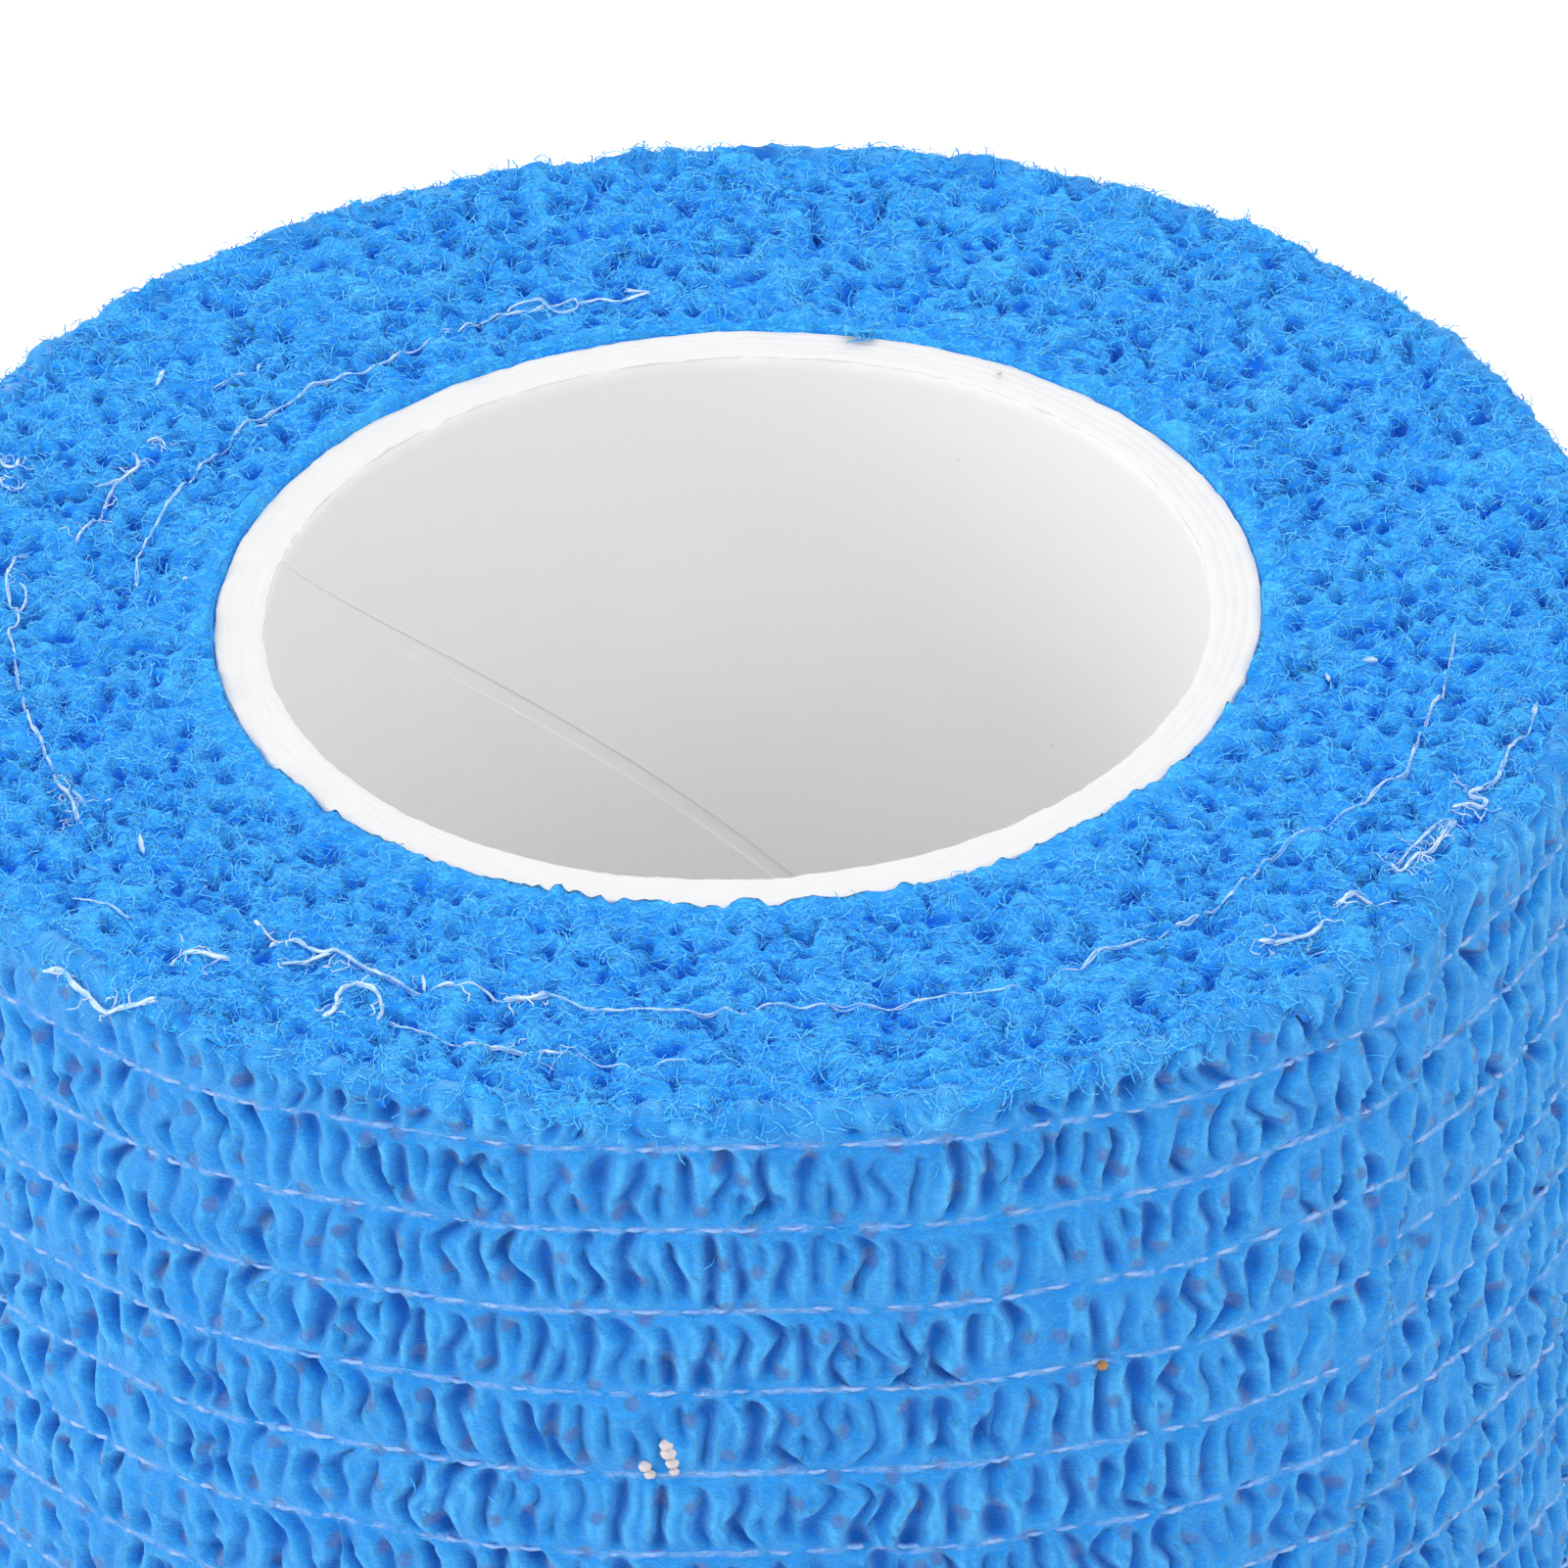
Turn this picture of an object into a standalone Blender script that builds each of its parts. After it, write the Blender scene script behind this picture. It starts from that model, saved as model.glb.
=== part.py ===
"""Cohesive bandage roll, 50 mm wide, standing on its end.

A crinkled elastic bandage is wound on a spiral-wound paper tube. The tube and the wound bandage
are two separate pieces. Units are metres, +Z is up, and the origin is on the roll's axis at the
face it stands on. A bearing is measured at the axis from the front (-Y), positive to the right (+X).
"""

import math

import bmesh
import bpy
from mathutils import Vector

# Driving dimensions
ROLL_WIDTH = 0.0500  # the bandage's width, so the standing roll's height
ROLL_RADIUS = 0.0286  # over the outer turn, beside its cut end
LAYER = 0.0007  # one turn of crinkled bandage, as wound
TUBE_RADIUS = 0.0166
TUBE_WALL = 0.0016
TUBE_LENGTH = 0.0498
FIT_GAP = 0.0003  # the tube to the first turn

# The elastic threads draw the bandage in along rows, and it stands out between them
THREAD_ROWS = 16
THREAD_PITCH = 0.00306
FIRST_THREAD_DEPTH = 0.0012  # from the top edge down to the first row, at the front
BAND_RISE = 0.00045
BAND_SHOULDERS = (0.24, 0.76)  # where each band reaches its full height, as shares of the pitch

# How far the rows lie below their height at the front, because the edge isn't cut along a thread
ROW_DRIFT = (
    # bearing_deg, drop_m
    (-180, 0.00140),
    (-120, 0.00190),
    (-60, 0.00195),
    (-44, 0.00145),
    (-22, 0.00050),
    (0, 0.0),
    (16, 0.00050),
    (30, 0.00110),
    (45, 0.00150),
    (80, 0.00180),
    (130, 0.00120),
    (180, 0.00140),
)

# The cut end of the outer turn, stuck down, slanting a little to the left on its way down
TAIL_BEARING = 49.0  # degrees, at the top edge
TAIL_SLANT = 0.42  # degrees for each millimetre of height
TAIL_FACE = 0.8  # degrees that the step at the cut end takes
TAIL_REACH = 45.0  # degrees over which the columns of faces lean with the cut end
COLUMN_STEP = 5.0  # degrees

# The wound end face: how far in from the outer radius, and how far below the top edge
END_FACE = (
    # inset_m, depth_m
    (0.00025, 0.00042),
    (0.00090, 0.00010),
    (0.00300, 0.0),
    (0.00620, 0.00004),
    (0.00880, 0.00022),
    (0.01020, 0.00042),
)
SIDE_TOP_DEPTH = 0.0008  # where the rounded top edge meets the side
SIDE_FOOT_HEIGHT = 0.00045  # where the rounded bottom edge meets the side
FOOT_INSET = 0.00050
FOOT_RINGS = 3  # flat rings of faces that the roll stands on
UNEVEN = 0.00012  # slow unevenness of the outline and of the edges
CRINKLE = 0.00016  # how far single spots of a band stand out or in

# The gap between two strips of the tube's inner paper ply
SEAM_WIDTH = 0.00055
SEAM_DEPTH = 0.00025
SEAM_LEAD = 0.0905  # along the tube for each turn
SEAM_TOP_BEARING = -103.8  # degrees, at the tube's top end
SEAM_OVERRUN = 0.0020  # the cutter past each end of the tube
SEAM_STEP = 5.0  # degrees
TUBE_SEGMENTS = 96
TUBE_EDGE = 0.00010  # softening of the tube's cut ends

BANDAGE_BLUE = (0.022, 0.235, 0.830, 1.0)
PAPER_WHITE = (0.830, 0.835, 0.840, 1.0)


def clear_scene():
    for obj in list(bpy.data.objects):
        bpy.data.objects.remove(obj, do_unlink=True)


def material(name, colour, roughness):
    made = bpy.data.materials.new(name)
    made.use_nodes = True
    shader = made.node_tree.nodes["Principled BSDF"]
    shader.inputs["Base Color"].default_value = colour
    shader.inputs["Roughness"].default_value = roughness
    shader.inputs["Metallic"].default_value = 0.0
    return made


def place(radius, bearing, height):
    """The point at this radius, bearing in degrees and height."""
    turn = math.radians(bearing)
    return Vector((radius * math.sin(turn), -radius * math.cos(turn), height))


def add_object(name, mesh, finish, sharp_deg):
    mesh.materials.append(finish)
    mesh.shade_smooth()
    mesh.set_sharp_from_angle(angle=math.radians(sharp_deg))
    obj = bpy.data.objects.new(name, mesh)
    bpy.context.scene.collection.objects.link(obj)
    return obj


def wave(bearing, phase):
    """A slow closed wave round the roll, between about -1 and 1."""
    turn = math.radians(bearing)
    return (
        0.5 * math.sin(2 * turn + phase)
        + 0.3 * math.sin(5 * turn + 2.1 * phase)
        + 0.2 * math.sin(11 * turn + 3.7 * phase)
    )


def crinkle(bearing, row):
    """An irregular value between -1 and 1 for a spot of a band, the same on every run."""
    value = math.sin(12.9898 * math.radians(bearing) + 78.233 * row) * 43758.5453
    return 2 * (value - math.floor(value)) - 1


def row_drift(bearing):
    """How far the thread rows have dropped at this bearing, eased between the table's rows."""
    bearing = (bearing + 180) % 360 - 180
    for (low, drop_low), (high, drop_high) in zip(ROW_DRIFT, ROW_DRIFT[1:]):
        if bearing <= high:
            share = (bearing - low) / (high - low)
            eased = share * share * (3 - 2 * share)
            return drop_low + (drop_high - drop_low) * eased
    return ROW_DRIFT[-1][1]


def side_levels(bearing):
    """(height, how far out of a full band) down the side: thread rows at 0, and bands between."""
    levels = [(ROLL_WIDTH - SIDE_TOP_DEPTH, 0.6)]
    top_row = ROLL_WIDTH - FIRST_THREAD_DEPTH - row_drift(bearing)
    for row in range(THREAD_ROWS):
        height = top_row - row * THREAD_PITCH
        levels.append((height, 0.0))
        if row < THREAD_ROWS - 1:
            levels += [(height - share * THREAD_PITCH, 1.0) for share in BAND_SHOULDERS]
    levels.append((SIDE_FOOT_HEIGHT, 0.2))
    return levels


def columns():
    """Degrees back from the cut end, round the outer turn to the foot of its step."""
    count = round(360 / COLUMN_STEP)
    return [index * COLUMN_STEP for index in range(count)] + [360 - TAIL_FACE]


def column_bearing(back, height):
    """The bearing of a column: near the cut end it leans with it."""
    near = max(0.0, 1 - min(back, 360 - back) / TAIL_REACH)
    lean = -TAIL_SLANT * 1000 * (ROLL_WIDTH - height)
    return TAIL_BEARING - back + lean * near


def outer_radius(back, bearing):
    """The wound outline: it loses one layer on its way round to the step."""
    return ROLL_RADIUS - LAYER * back / (360 - TAIL_FACE) + UNEVEN * wave(bearing, 0.4)


def bandage_column(back):
    """The closed section of the roll at one column, from the bore's top over the outside and back."""
    bore = TUBE_RADIUS + FIT_GAP
    bearing = column_bearing(back, ROLL_WIDTH)
    outside = outer_radius(back, bearing)
    sink = UNEVEN * (1 - wave(bearing, 1.9)) / 2
    bore_depth = END_FACE[-1][1] + UNEVEN
    points = [place(bore, bearing, ROLL_WIDTH - bore_depth - sink)]
    for inset, depth in reversed(END_FACE):
        points.append(place(outside - inset, bearing, ROLL_WIDTH - depth - sink))
    for row, (height, share) in enumerate(side_levels(TAIL_BEARING - back)):
        bulge = BAND_RISE * (share - 1) + CRINKLE * share * crinkle(back, row)
        points.append(place(outside + bulge, column_bearing(back, height), height))
    foot_bearing = column_bearing(back, 0.0)
    foot_outside = outside - FOOT_INSET
    for ring in range(FOOT_RINGS):
        share = ring / FOOT_RINGS
        points.append(place(foot_outside + (bore - foot_outside) * share, foot_bearing, 0.0))
    points.append(place(bore, foot_bearing, 0.0))
    return points


def centre_outline(rings):
    """Slides the outside so that its box is centred on the axis, and leaves the bore where it is."""
    bore = TUBE_RADIUS + FIT_GAP
    points = [point for ring in rings for point in ring]
    middle = Vector((0.0, 0.0, 0.0))
    for axis in (0, 1):
        values = [point[axis] for point in points]
        middle[axis] = (min(values) + max(values)) / 2
    for point in points:
        share = (math.hypot(point.x, point.y) - bore) / (ROLL_RADIUS - bore)
        point -= middle * max(0.0, share)


def build_bandage_roll():
    rings = [bandage_column(back) for back in columns()]
    centre_outline(rings)
    bm = bmesh.new()
    verts = [[bm.verts.new(point) for point in ring] for ring in rings]
    for ring, following in zip(verts, verts[1:] + verts[:1]):
        for index, vert in enumerate(ring):
            under = (index + 1) % len(ring)
            bm.faces.new((vert, ring[under], following[under], following[index]))
    bmesh.ops.triangulate(bm, faces=bm.faces[:])
    bmesh.ops.recalc_face_normals(bm, faces=bm.faces[:])
    mesh = bpy.data.meshes.new("bandage_roll")
    bm.to_mesh(mesh)
    bm.free()
    finish = material("cohesive_bandage", BANDAGE_BLUE, 0.85)
    return add_object("bandage_roll", mesh, finish, 50)


def turned_section(section, segments):
    """The closed section of (radius, height) points turned round the axis."""
    bm = bmesh.new()
    verts = [bm.verts.new((radius, 0.0, height)) for radius, height in section]
    edges = [bm.edges.new(pair) for pair in zip(verts, verts[1:] + verts[:1])]
    bmesh.ops.spin(
        bm,
        geom=verts + edges,
        axis=(0, 0, 1),
        cent=(0, 0, 0),
        steps=segments,
        angle=2 * math.pi,
        use_merge=True,
    )
    bmesh.ops.remove_doubles(bm, verts=bm.verts[:], dist=1e-6)
    bmesh.ops.recalc_face_normals(bm, faces=bm.faces[:])
    mesh = bpy.data.meshes.new("turned_section")
    bm.to_mesh(mesh)
    bm.free()
    return mesh


def seam_cutter():
    """A ribbon that winds along the tube's inner wall and cuts the gap between two paper strips."""
    inner = TUBE_RADIUS - TUBE_WALL
    slope = math.atan2(SEAM_LEAD, 2 * math.pi * inner)
    half_rise = SEAM_WIDTH / 2 / math.cos(slope)
    travel = TUBE_LENGTH + 2 * SEAM_OVERRUN
    steps = round(travel / SEAM_LEAD * 360 / SEAM_STEP)
    bm = bmesh.new()
    rings = []
    for index in range(steps + 1):
        fall = travel * index / steps - SEAM_OVERRUN
        bearing = SEAM_TOP_BEARING - 360 * fall / SEAM_LEAD
        height = TUBE_LENGTH - fall
        corners = ((-SEAM_DEPTH, 1), (SEAM_DEPTH, 1), (SEAM_DEPTH, -1), (-SEAM_DEPTH, -1))
        rings.append(
            [bm.verts.new(place(inner + out, bearing, height + side * half_rise)) for out, side in corners]
        )
    for ring, following in zip(rings, rings[1:]):
        for index in range(4):
            under = (index + 1) % 4
            bm.faces.new((ring[index], ring[under], following[under], following[index]))
    bm.faces.new(rings[0])
    bm.faces.new(reversed(rings[-1]))
    bmesh.ops.triangulate(bm, faces=bm.faces[:])
    bmesh.ops.recalc_face_normals(bm, faces=bm.faces[:])
    mesh = bpy.data.meshes.new("seam_cutter")
    bm.to_mesh(mesh)
    bm.free()
    cutter = bpy.data.objects.new("seam_cutter", mesh)
    bpy.context.scene.collection.objects.link(cutter)
    cutter.hide_render = True
    cutter.display_type = "WIRE"
    return cutter


def build_core_tube():
    inner = TUBE_RADIUS - TUBE_WALL
    section = [
        (inner, TUBE_EDGE),
        (inner + TUBE_EDGE, 0.0),
        (TUBE_RADIUS - TUBE_EDGE, 0.0),
        (TUBE_RADIUS, TUBE_EDGE),
        (TUBE_RADIUS, TUBE_LENGTH - TUBE_EDGE),
        (TUBE_RADIUS - TUBE_EDGE, TUBE_LENGTH),
        (inner + TUBE_EDGE, TUBE_LENGTH),
        (inner, TUBE_LENGTH - TUBE_EDGE),
    ]
    mesh = turned_section(section, TUBE_SEGMENTS)
    mesh.name = "core_tube"
    tube = add_object("core_tube", mesh, material("core_paper", PAPER_WHITE, 0.7), 35)
    cut = tube.modifiers.new("seam", "BOOLEAN")
    cut.operation = "DIFFERENCE"
    cut.solver = "EXACT"
    cut.object = seam_cutter()
    return tube


def build():
    clear_scene()
    stand = bpy.data.objects.new("roll", None)
    bpy.context.scene.collection.objects.link(stand)
    for piece in (build_core_tube(), build_bandage_roll()):
        piece.parent = stand


build()
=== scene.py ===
"""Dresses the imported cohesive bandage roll: crinkled cloth, wound end faces, threads and tube."""

import logging
import math
from dataclasses import dataclass, field
from enum import Enum
from typing import Any, Sequence

import bmesh
import bpy
import numpy as np
from mathutils import Matrix, Quaternion, Vector


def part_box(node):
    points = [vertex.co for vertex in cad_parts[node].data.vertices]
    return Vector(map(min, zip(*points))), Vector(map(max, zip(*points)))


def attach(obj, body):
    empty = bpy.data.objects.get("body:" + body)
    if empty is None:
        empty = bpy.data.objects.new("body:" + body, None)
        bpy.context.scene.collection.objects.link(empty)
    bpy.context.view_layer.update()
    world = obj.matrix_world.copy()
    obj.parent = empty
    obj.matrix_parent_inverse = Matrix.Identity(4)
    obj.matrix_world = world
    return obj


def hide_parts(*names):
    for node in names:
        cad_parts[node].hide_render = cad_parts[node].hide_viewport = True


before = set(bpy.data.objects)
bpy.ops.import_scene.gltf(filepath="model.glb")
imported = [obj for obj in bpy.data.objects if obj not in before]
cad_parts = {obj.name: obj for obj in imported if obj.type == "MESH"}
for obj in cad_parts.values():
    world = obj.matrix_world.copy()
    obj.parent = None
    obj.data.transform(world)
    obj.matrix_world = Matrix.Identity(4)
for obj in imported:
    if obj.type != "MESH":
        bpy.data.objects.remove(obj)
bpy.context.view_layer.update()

log = logging.getLogger("bandage_roll")

MM = 0.001  # every class below works in millimetres, and meshes are made in metres
BODY = "root"
CLOTH_SLOT = "bandage_cloth"
PAPER_SLOT = "core_paper"
STRAND_SIDES = 3
Array = np.ndarray
Colour = tuple[float, float, float]


# ---------------------------------------------------------------- number helpers


def ease(share: Array) -> Array:
    """Smooth step of a share between 0 and 1."""
    share = np.clip(share, 0.0, 1.0)
    return share * share * (3 - 2 * share)


def bump(distance: Array, reach: float | Array) -> Array:
    """A soft hill: 1 at no distance, near 0 past twice its reach."""
    return np.exp(-((distance / reach) ** 2))


def place(radius: Array, bearing: Array, height: Array) -> Array:
    """Points from a radius, a bearing in degrees from the front, and a height.

    Args:
        radius: distance from the roll's axis.
        bearing: degrees from the front (-Y), positive to the right (+X).
        height: height over the floor.

    Returns:
        The points, with x, y and z along the last axis.
    """
    turn = np.radians(bearing)
    return np.stack(np.broadcast_arrays(radius * np.sin(turn), -radius * np.cos(turn), height), -1)


def along(values: Array, lane: Array, spot: Array) -> Array:
    """Reads lanes of values at spots between their points, eased; the lanes wrap.

    Args:
        values: one row of values for each lane.
        lane: which lane to read.
        spot: where to read it, in steps of its points.

    Returns:
        The blended values.
    """
    low = np.clip(np.floor(spot).astype(int), 0, values.shape[1] - 2)
    share = ease(spot - low)
    lane = lane % values.shape[0]
    return values[lane, low] * (1 - share) + values[lane, low + 1] * share


def eased_lanes(drawn: Array, lanes: int) -> Array:
    """Spreads a few rows of drawn values over more lanes, eased between them, and round again."""
    spot = np.arange(lanes) / lanes * len(drawn)
    low = spot.astype(int)
    share = ease(spot - low)[:, None]
    return drawn[low] * (1 - share) + drawn[(low + 1) % len(drawn)] * share


class Mottle:
    """Seeded value noise in space, about -1 to 1."""

    SIDE = 48

    def __init__(self, seed: int) -> None:
        """Draws the table that the noise is read from."""
        self.table = np.random.default_rng(seed).uniform(-1, 1, (self.SIDE,) * 3)

    def at(self, points: Array, scale: float) -> Array:
        """Reads the noise.

        Args:
            points: where to read it, with x, y and z along the last axis.
            scale: size of one lump in the same unit.

        Returns:
            The noise at each point.
        """
        low = np.floor(points / scale).astype(int)
        share = ease(points / scale - low)
        total = np.zeros(points.shape[:-1])
        for corner in range(8):
            step = np.array([corner >> 2 & 1, corner >> 1 & 1, corner & 1])
            weight = np.prod(np.where(step, share, 1 - share), axis=-1)
            total += weight * self.table[tuple(np.moveaxis((low + step) % self.SIDE, -1, 0))]
        return total


def wander(draw: np.random.Generator, count: int, step: int) -> Array:
    """A line of smooth noise between -1 and 1, with a new value every few steps."""
    knots = draw.uniform(-1, 1, count // step + 3)
    spot = np.arange(count) / step
    low = spot.astype(int)
    share = ease(spot - low)
    return knots[low] * (1 - share) + knots[low + 1] * share


# ---------------------------------------------------------------- mesh and node helpers


@dataclass
class Sheet:
    """A grid of points with what its material reads, before it is cut into pieces."""

    points: Array  # columns, rows, 3
    cloth: Array  # columns, rows, 2: fold and thread row
    # depth-in-fold share: the material paints shade where it nears 1 and a highlight where it nears -1; it
    # also thins the fuzz
    hollow_shade: Array  # columns, rows: -1 on a crest, 0 on a flat, 1 deep in a fold
    fuzz: Array  # columns, rows: how much fuzz grows there, from 0 to 1
    span: float = 0.0  # what the fold coordinate grows by in one full turn
    facing_down: bool = False

    def normals(self) -> Array:
        """Unit normals from the grid's own neighbours, across the join too."""
        ring = np.concatenate([self.points[-1:], self.points, self.points[:1]])
        across = ring[2:] - ring[:-2]
        down = np.gradient(self.points, axis=1)
        normal = np.cross(across, down) if self.facing_down else np.cross(down, across)
        return normal / np.maximum(np.linalg.norm(normal, axis=-1, keepdims=True), 1e-12)

    def cut(self, name: str, sectors: int, finish: bpy.types.Material) -> list[bpy.types.Object]:
        """Cuts the grid into sectors whose shading still joins, and settles a piece of each.

        Args:
            name: the pieces' name, to which a number is added.
            sectors: how many pieces to make.
            finish: the material of all of them.

        Returns:
            The pieces.
        """
        normals = self.normals()
        columns = self.points.shape[0]
        edges = [round(columns * sector / sectors) for sector in range(sectors + 1)]
        made = []
        for number, (first, last) in enumerate(zip(edges, edges[1:]), 1):
            take = np.arange(first, last + 1) % columns
            piece = self.piece(f"{name}_{number}", take, normals, finish)
            settle(piece, CLOTH_SLOT, "bandage_roll")
            made.append(piece)
        return made

    def piece(
        self, name: str, take: Array, normals: Array, finish: bpy.types.Material
    ) -> bpy.types.Object:
        """Makes one mesh object from some of the grid's columns.

        Args:
            name: the object's name.
            take: the columns, in order.
            normals: the whole grid's normals.
            finish: its material.

        Returns:
            The object.
        """
        points = self.points[take]
        columns, rows = points.shape[:2]
        index = np.arange(columns * rows).reshape(columns, rows)
        here, under = index[:-1, :-1], index[:-1, 1:]
        beside, across = index[1:, :-1], index[1:, 1:]
        order = (here, beside, across, under) if self.facing_down else (here, under, across, beside)
        corners = np.stack(order, -1).reshape(-1, 4)
        mesh = mesh_from(name, points.reshape(-1, 3), corners)
        cloth = self.cloth[take]
        if take[-1] < take[0]:
            cloth[-1, :, 0] += self.span
        cloth = cloth.reshape(-1, 2)
        uv = mesh.uv_layers.new(name="cloth")
        uv.data.foreach_set("uv", cloth[corners.ravel()].astype(np.float32).ravel())
        # the depth-in-fold share goes to the material for painted shade and highlight, the fuzz share to the
        # fuzz recipe
        for key, values in (("hollow_shade", self.hollow_shade), ("fuzz", self.fuzz)):
            layer = mesh.attributes.new(key, "FLOAT", "POINT")
            layer.data.foreach_set("value", values[take].astype(np.float32).ravel())
        mesh.shade_smooth()
        mesh.normals_split_custom_set_from_vertices(normals[take].reshape(-1, 3))
        return add_piece(name, mesh, finish)


def mesh_from(name: str, points: Array, corners: Array) -> bpy.types.Mesh:
    """A mesh of four-cornered faces from points in millimetres."""
    mesh = bpy.data.meshes.new(name)
    mesh.vertices.add(len(points))
    mesh.vertices.foreach_set("co", (points * MM).astype(np.float32).ravel())
    mesh.loops.add(corners.size)
    mesh.loops.foreach_set("vertex_index", corners.astype(np.int32).ravel())
    mesh.polygons.add(len(corners))
    mesh.polygons.foreach_set("loop_start", np.arange(0, corners.size, 4, dtype=np.int32))
    mesh.update(calc_edges=True)
    return mesh


def read(items: Any, key: str, kind: type, width: int = 1) -> Array:
    """One value of every item of a mesh's collection, as rows where it has several parts."""
    values = np.empty(len(items) * width, kind)
    items.foreach_get(key, values)
    return values.reshape(-1, width) if width > 1 else values


def add_helper(name: str, points: Array, edges: Sequence[tuple[int, int]]) -> bpy.types.Object:
    """A helper object of edges between points in metres, which the caller removes."""
    mesh = bpy.data.meshes.new(name)
    mesh.from_pydata(points.tolist(), edges, [])
    helper = bpy.data.objects.new(name, mesh)
    bpy.context.scene.collection.objects.link(helper)
    return helper


def add_piece(name: str, mesh: bpy.types.Mesh, finish: bpy.types.Material) -> bpy.types.Object:
    """Puts a mesh in the scene, at the origin, in one finish."""
    mesh.materials.clear()
    mesh.materials.append(finish)
    piece = bpy.data.objects.new(name, mesh)
    bpy.context.scene.collection.objects.link(piece)
    return piece


def settle(piece: bpy.types.Object, slot: str, *nodes: str) -> None:
    """Hangs a piece on the body it rides on, hides the solids it stands for and logs its faces."""
    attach(piece, BODY)
    if nodes:
        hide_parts(*nodes)
    log.info("%s: %d faces", piece.name, len(piece.data.polygons))


class Wiring:
    """Adds nodes to one tree and joins them."""

    def __init__(self, tree: bpy.types.NodeTree) -> None:
        """Keeps the tree that the nodes go into."""
        self.tree = tree

    def add(self, kind: str, inputs: dict[Any, Any] | None = None, **settings: Any) -> bpy.types.Node:
        """Adds a node.

        Args:
            kind: the node's type name.
            inputs: for each input, by name or number, a value or a socket to join to it.
            **settings: the node's own properties.

        Returns:
            The node.
        """
        node = self.tree.nodes.new(kind)
        for key, value in settings.items():
            setattr(node, key, value)
        for key, value in (inputs or {}).items():
            if isinstance(value, bpy.types.NodeSocket):
                self.tree.links.new(value, node.inputs[key])
            else:
                node.inputs[key].default_value = value
        return node

    def math(self, operation: str, first: Any, second: Any = 0.0, third: Any = 0.0) -> Any:
        """A math node's result."""
        inputs = {0: first, 1: second, 2: third}
        return self.add("ShaderNodeMath", inputs, operation=operation).outputs[0]

    def span(self, value: Any, low: float, high: float, to_low: float = 0.0, to_high: float = 1.0) -> Any:
        """A value's place between two limits, eased and clamped."""
        inputs = {"Value": value, 1: low, 2: high, 3: to_low, 4: to_high}
        return self.add("ShaderNodeMapRange", inputs, interpolation_type="SMOOTHSTEP").outputs[0]

    def vector(self, operation: str, first: Any, second: Any) -> Any:
        """A vector math node's result; to SCALE, the second value is a number."""
        inputs = {0: first, "Scale" if operation == "SCALE" else 1: second}
        return self.add("ShaderNodeVectorMath", inputs, operation=operation).outputs[0]

    def joined(self, x: Any = 0.0, y: Any = 0.0, z: Any = 0.0) -> Any:
        """A vector of three values."""
        return self.add("ShaderNodeCombineXYZ", {0: x, 1: y, 2: z}).outputs[0]

    def height(self, where: Any) -> Any:
        """How high a place is."""
        return self.add("ShaderNodeSeparateXYZ", {0: where}).outputs[2]

    def where(self) -> Any:
        """The object's own coordinates, for a material."""
        return self.add("ShaderNodeTexCoord").outputs["Object"]

    def stored(self, name: str) -> Any:
        """A mesh's stored value, for a geometry tree."""
        node = self.add("GeometryNodeInputNamedAttribute", {"Name": name}, data_type="FLOAT")
        return node.outputs["Attribute"]

    def swept(self, curve: Any, profile: Any, **inputs: Any) -> Any:
        """A profile swept along a curve."""
        inputs = {"Curve": curve, "Profile Curve": profile, **inputs}
        return self.add("GeometryNodeCurveToMesh", inputs).outputs[0]

    def mix(self, share: Any, first: Any, second: Any) -> Any:
        """Two colours mixed by a share."""
        inputs = {0: share, 6: first, 7: second}
        return self.add("ShaderNodeMix", inputs, data_type="RGBA").outputs[2]

    def noise(self, where: Any, size_mm: float, detail: float = 2.0, rough: float = 0.5) -> Any:
        """Noise with lumps of about this size in millimetres."""
        inputs = {"Vector": where, "Scale": 1 / (size_mm * MM), "Detail": detail, "Roughness": rough}
        return self.add("ShaderNodeTexNoise", inputs).outputs[0]


class Dye:
    """A new material with one shader in it, and the wiring of its nodes."""

    def __init__(self, name: str) -> None:
        """Starts the material."""
        self.made = bpy.data.materials.new(name)
        self.made.use_nodes = True
        self.wires = Wiring(self.made.node_tree)
        self.shader = self.made.node_tree.nodes["Principled BSDF"]

    def end(self, colour: Any, values: dict[str, Any]) -> bpy.types.Material:
        """Joins the colour to the shader, sets the shader's other values and gives the material."""
        self.wires.tree.links.new(colour, self.shader.inputs["Base Color"])
        for key, value in values.items():
            self.shader.inputs[key].default_value = value
        return self.made

    def emboss(self, height: Any, depth_mm: float, strength: float) -> None:
        """Gives the surface a fine relief."""
        inputs = {"Height": height, "Distance": depth_mm * MM, "Strength": strength}
        relief = self.wires.add("ShaderNodeBump", inputs)
        self.wires.tree.links.new(relief.outputs[0], self.shader.inputs["Normal"])


def rgba(colour: Colour) -> tuple[float, float, float, float]:
    """A linear colour with full alpha."""
    return (*colour, 1.0)


# ---------------------------------------------------------------- finishes


class Weave(Enum):
    """Which face of the bandage a cloth finish is for."""

    SIDE = "side"
    END = "end"
    FIBRE = "fibre"


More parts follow.
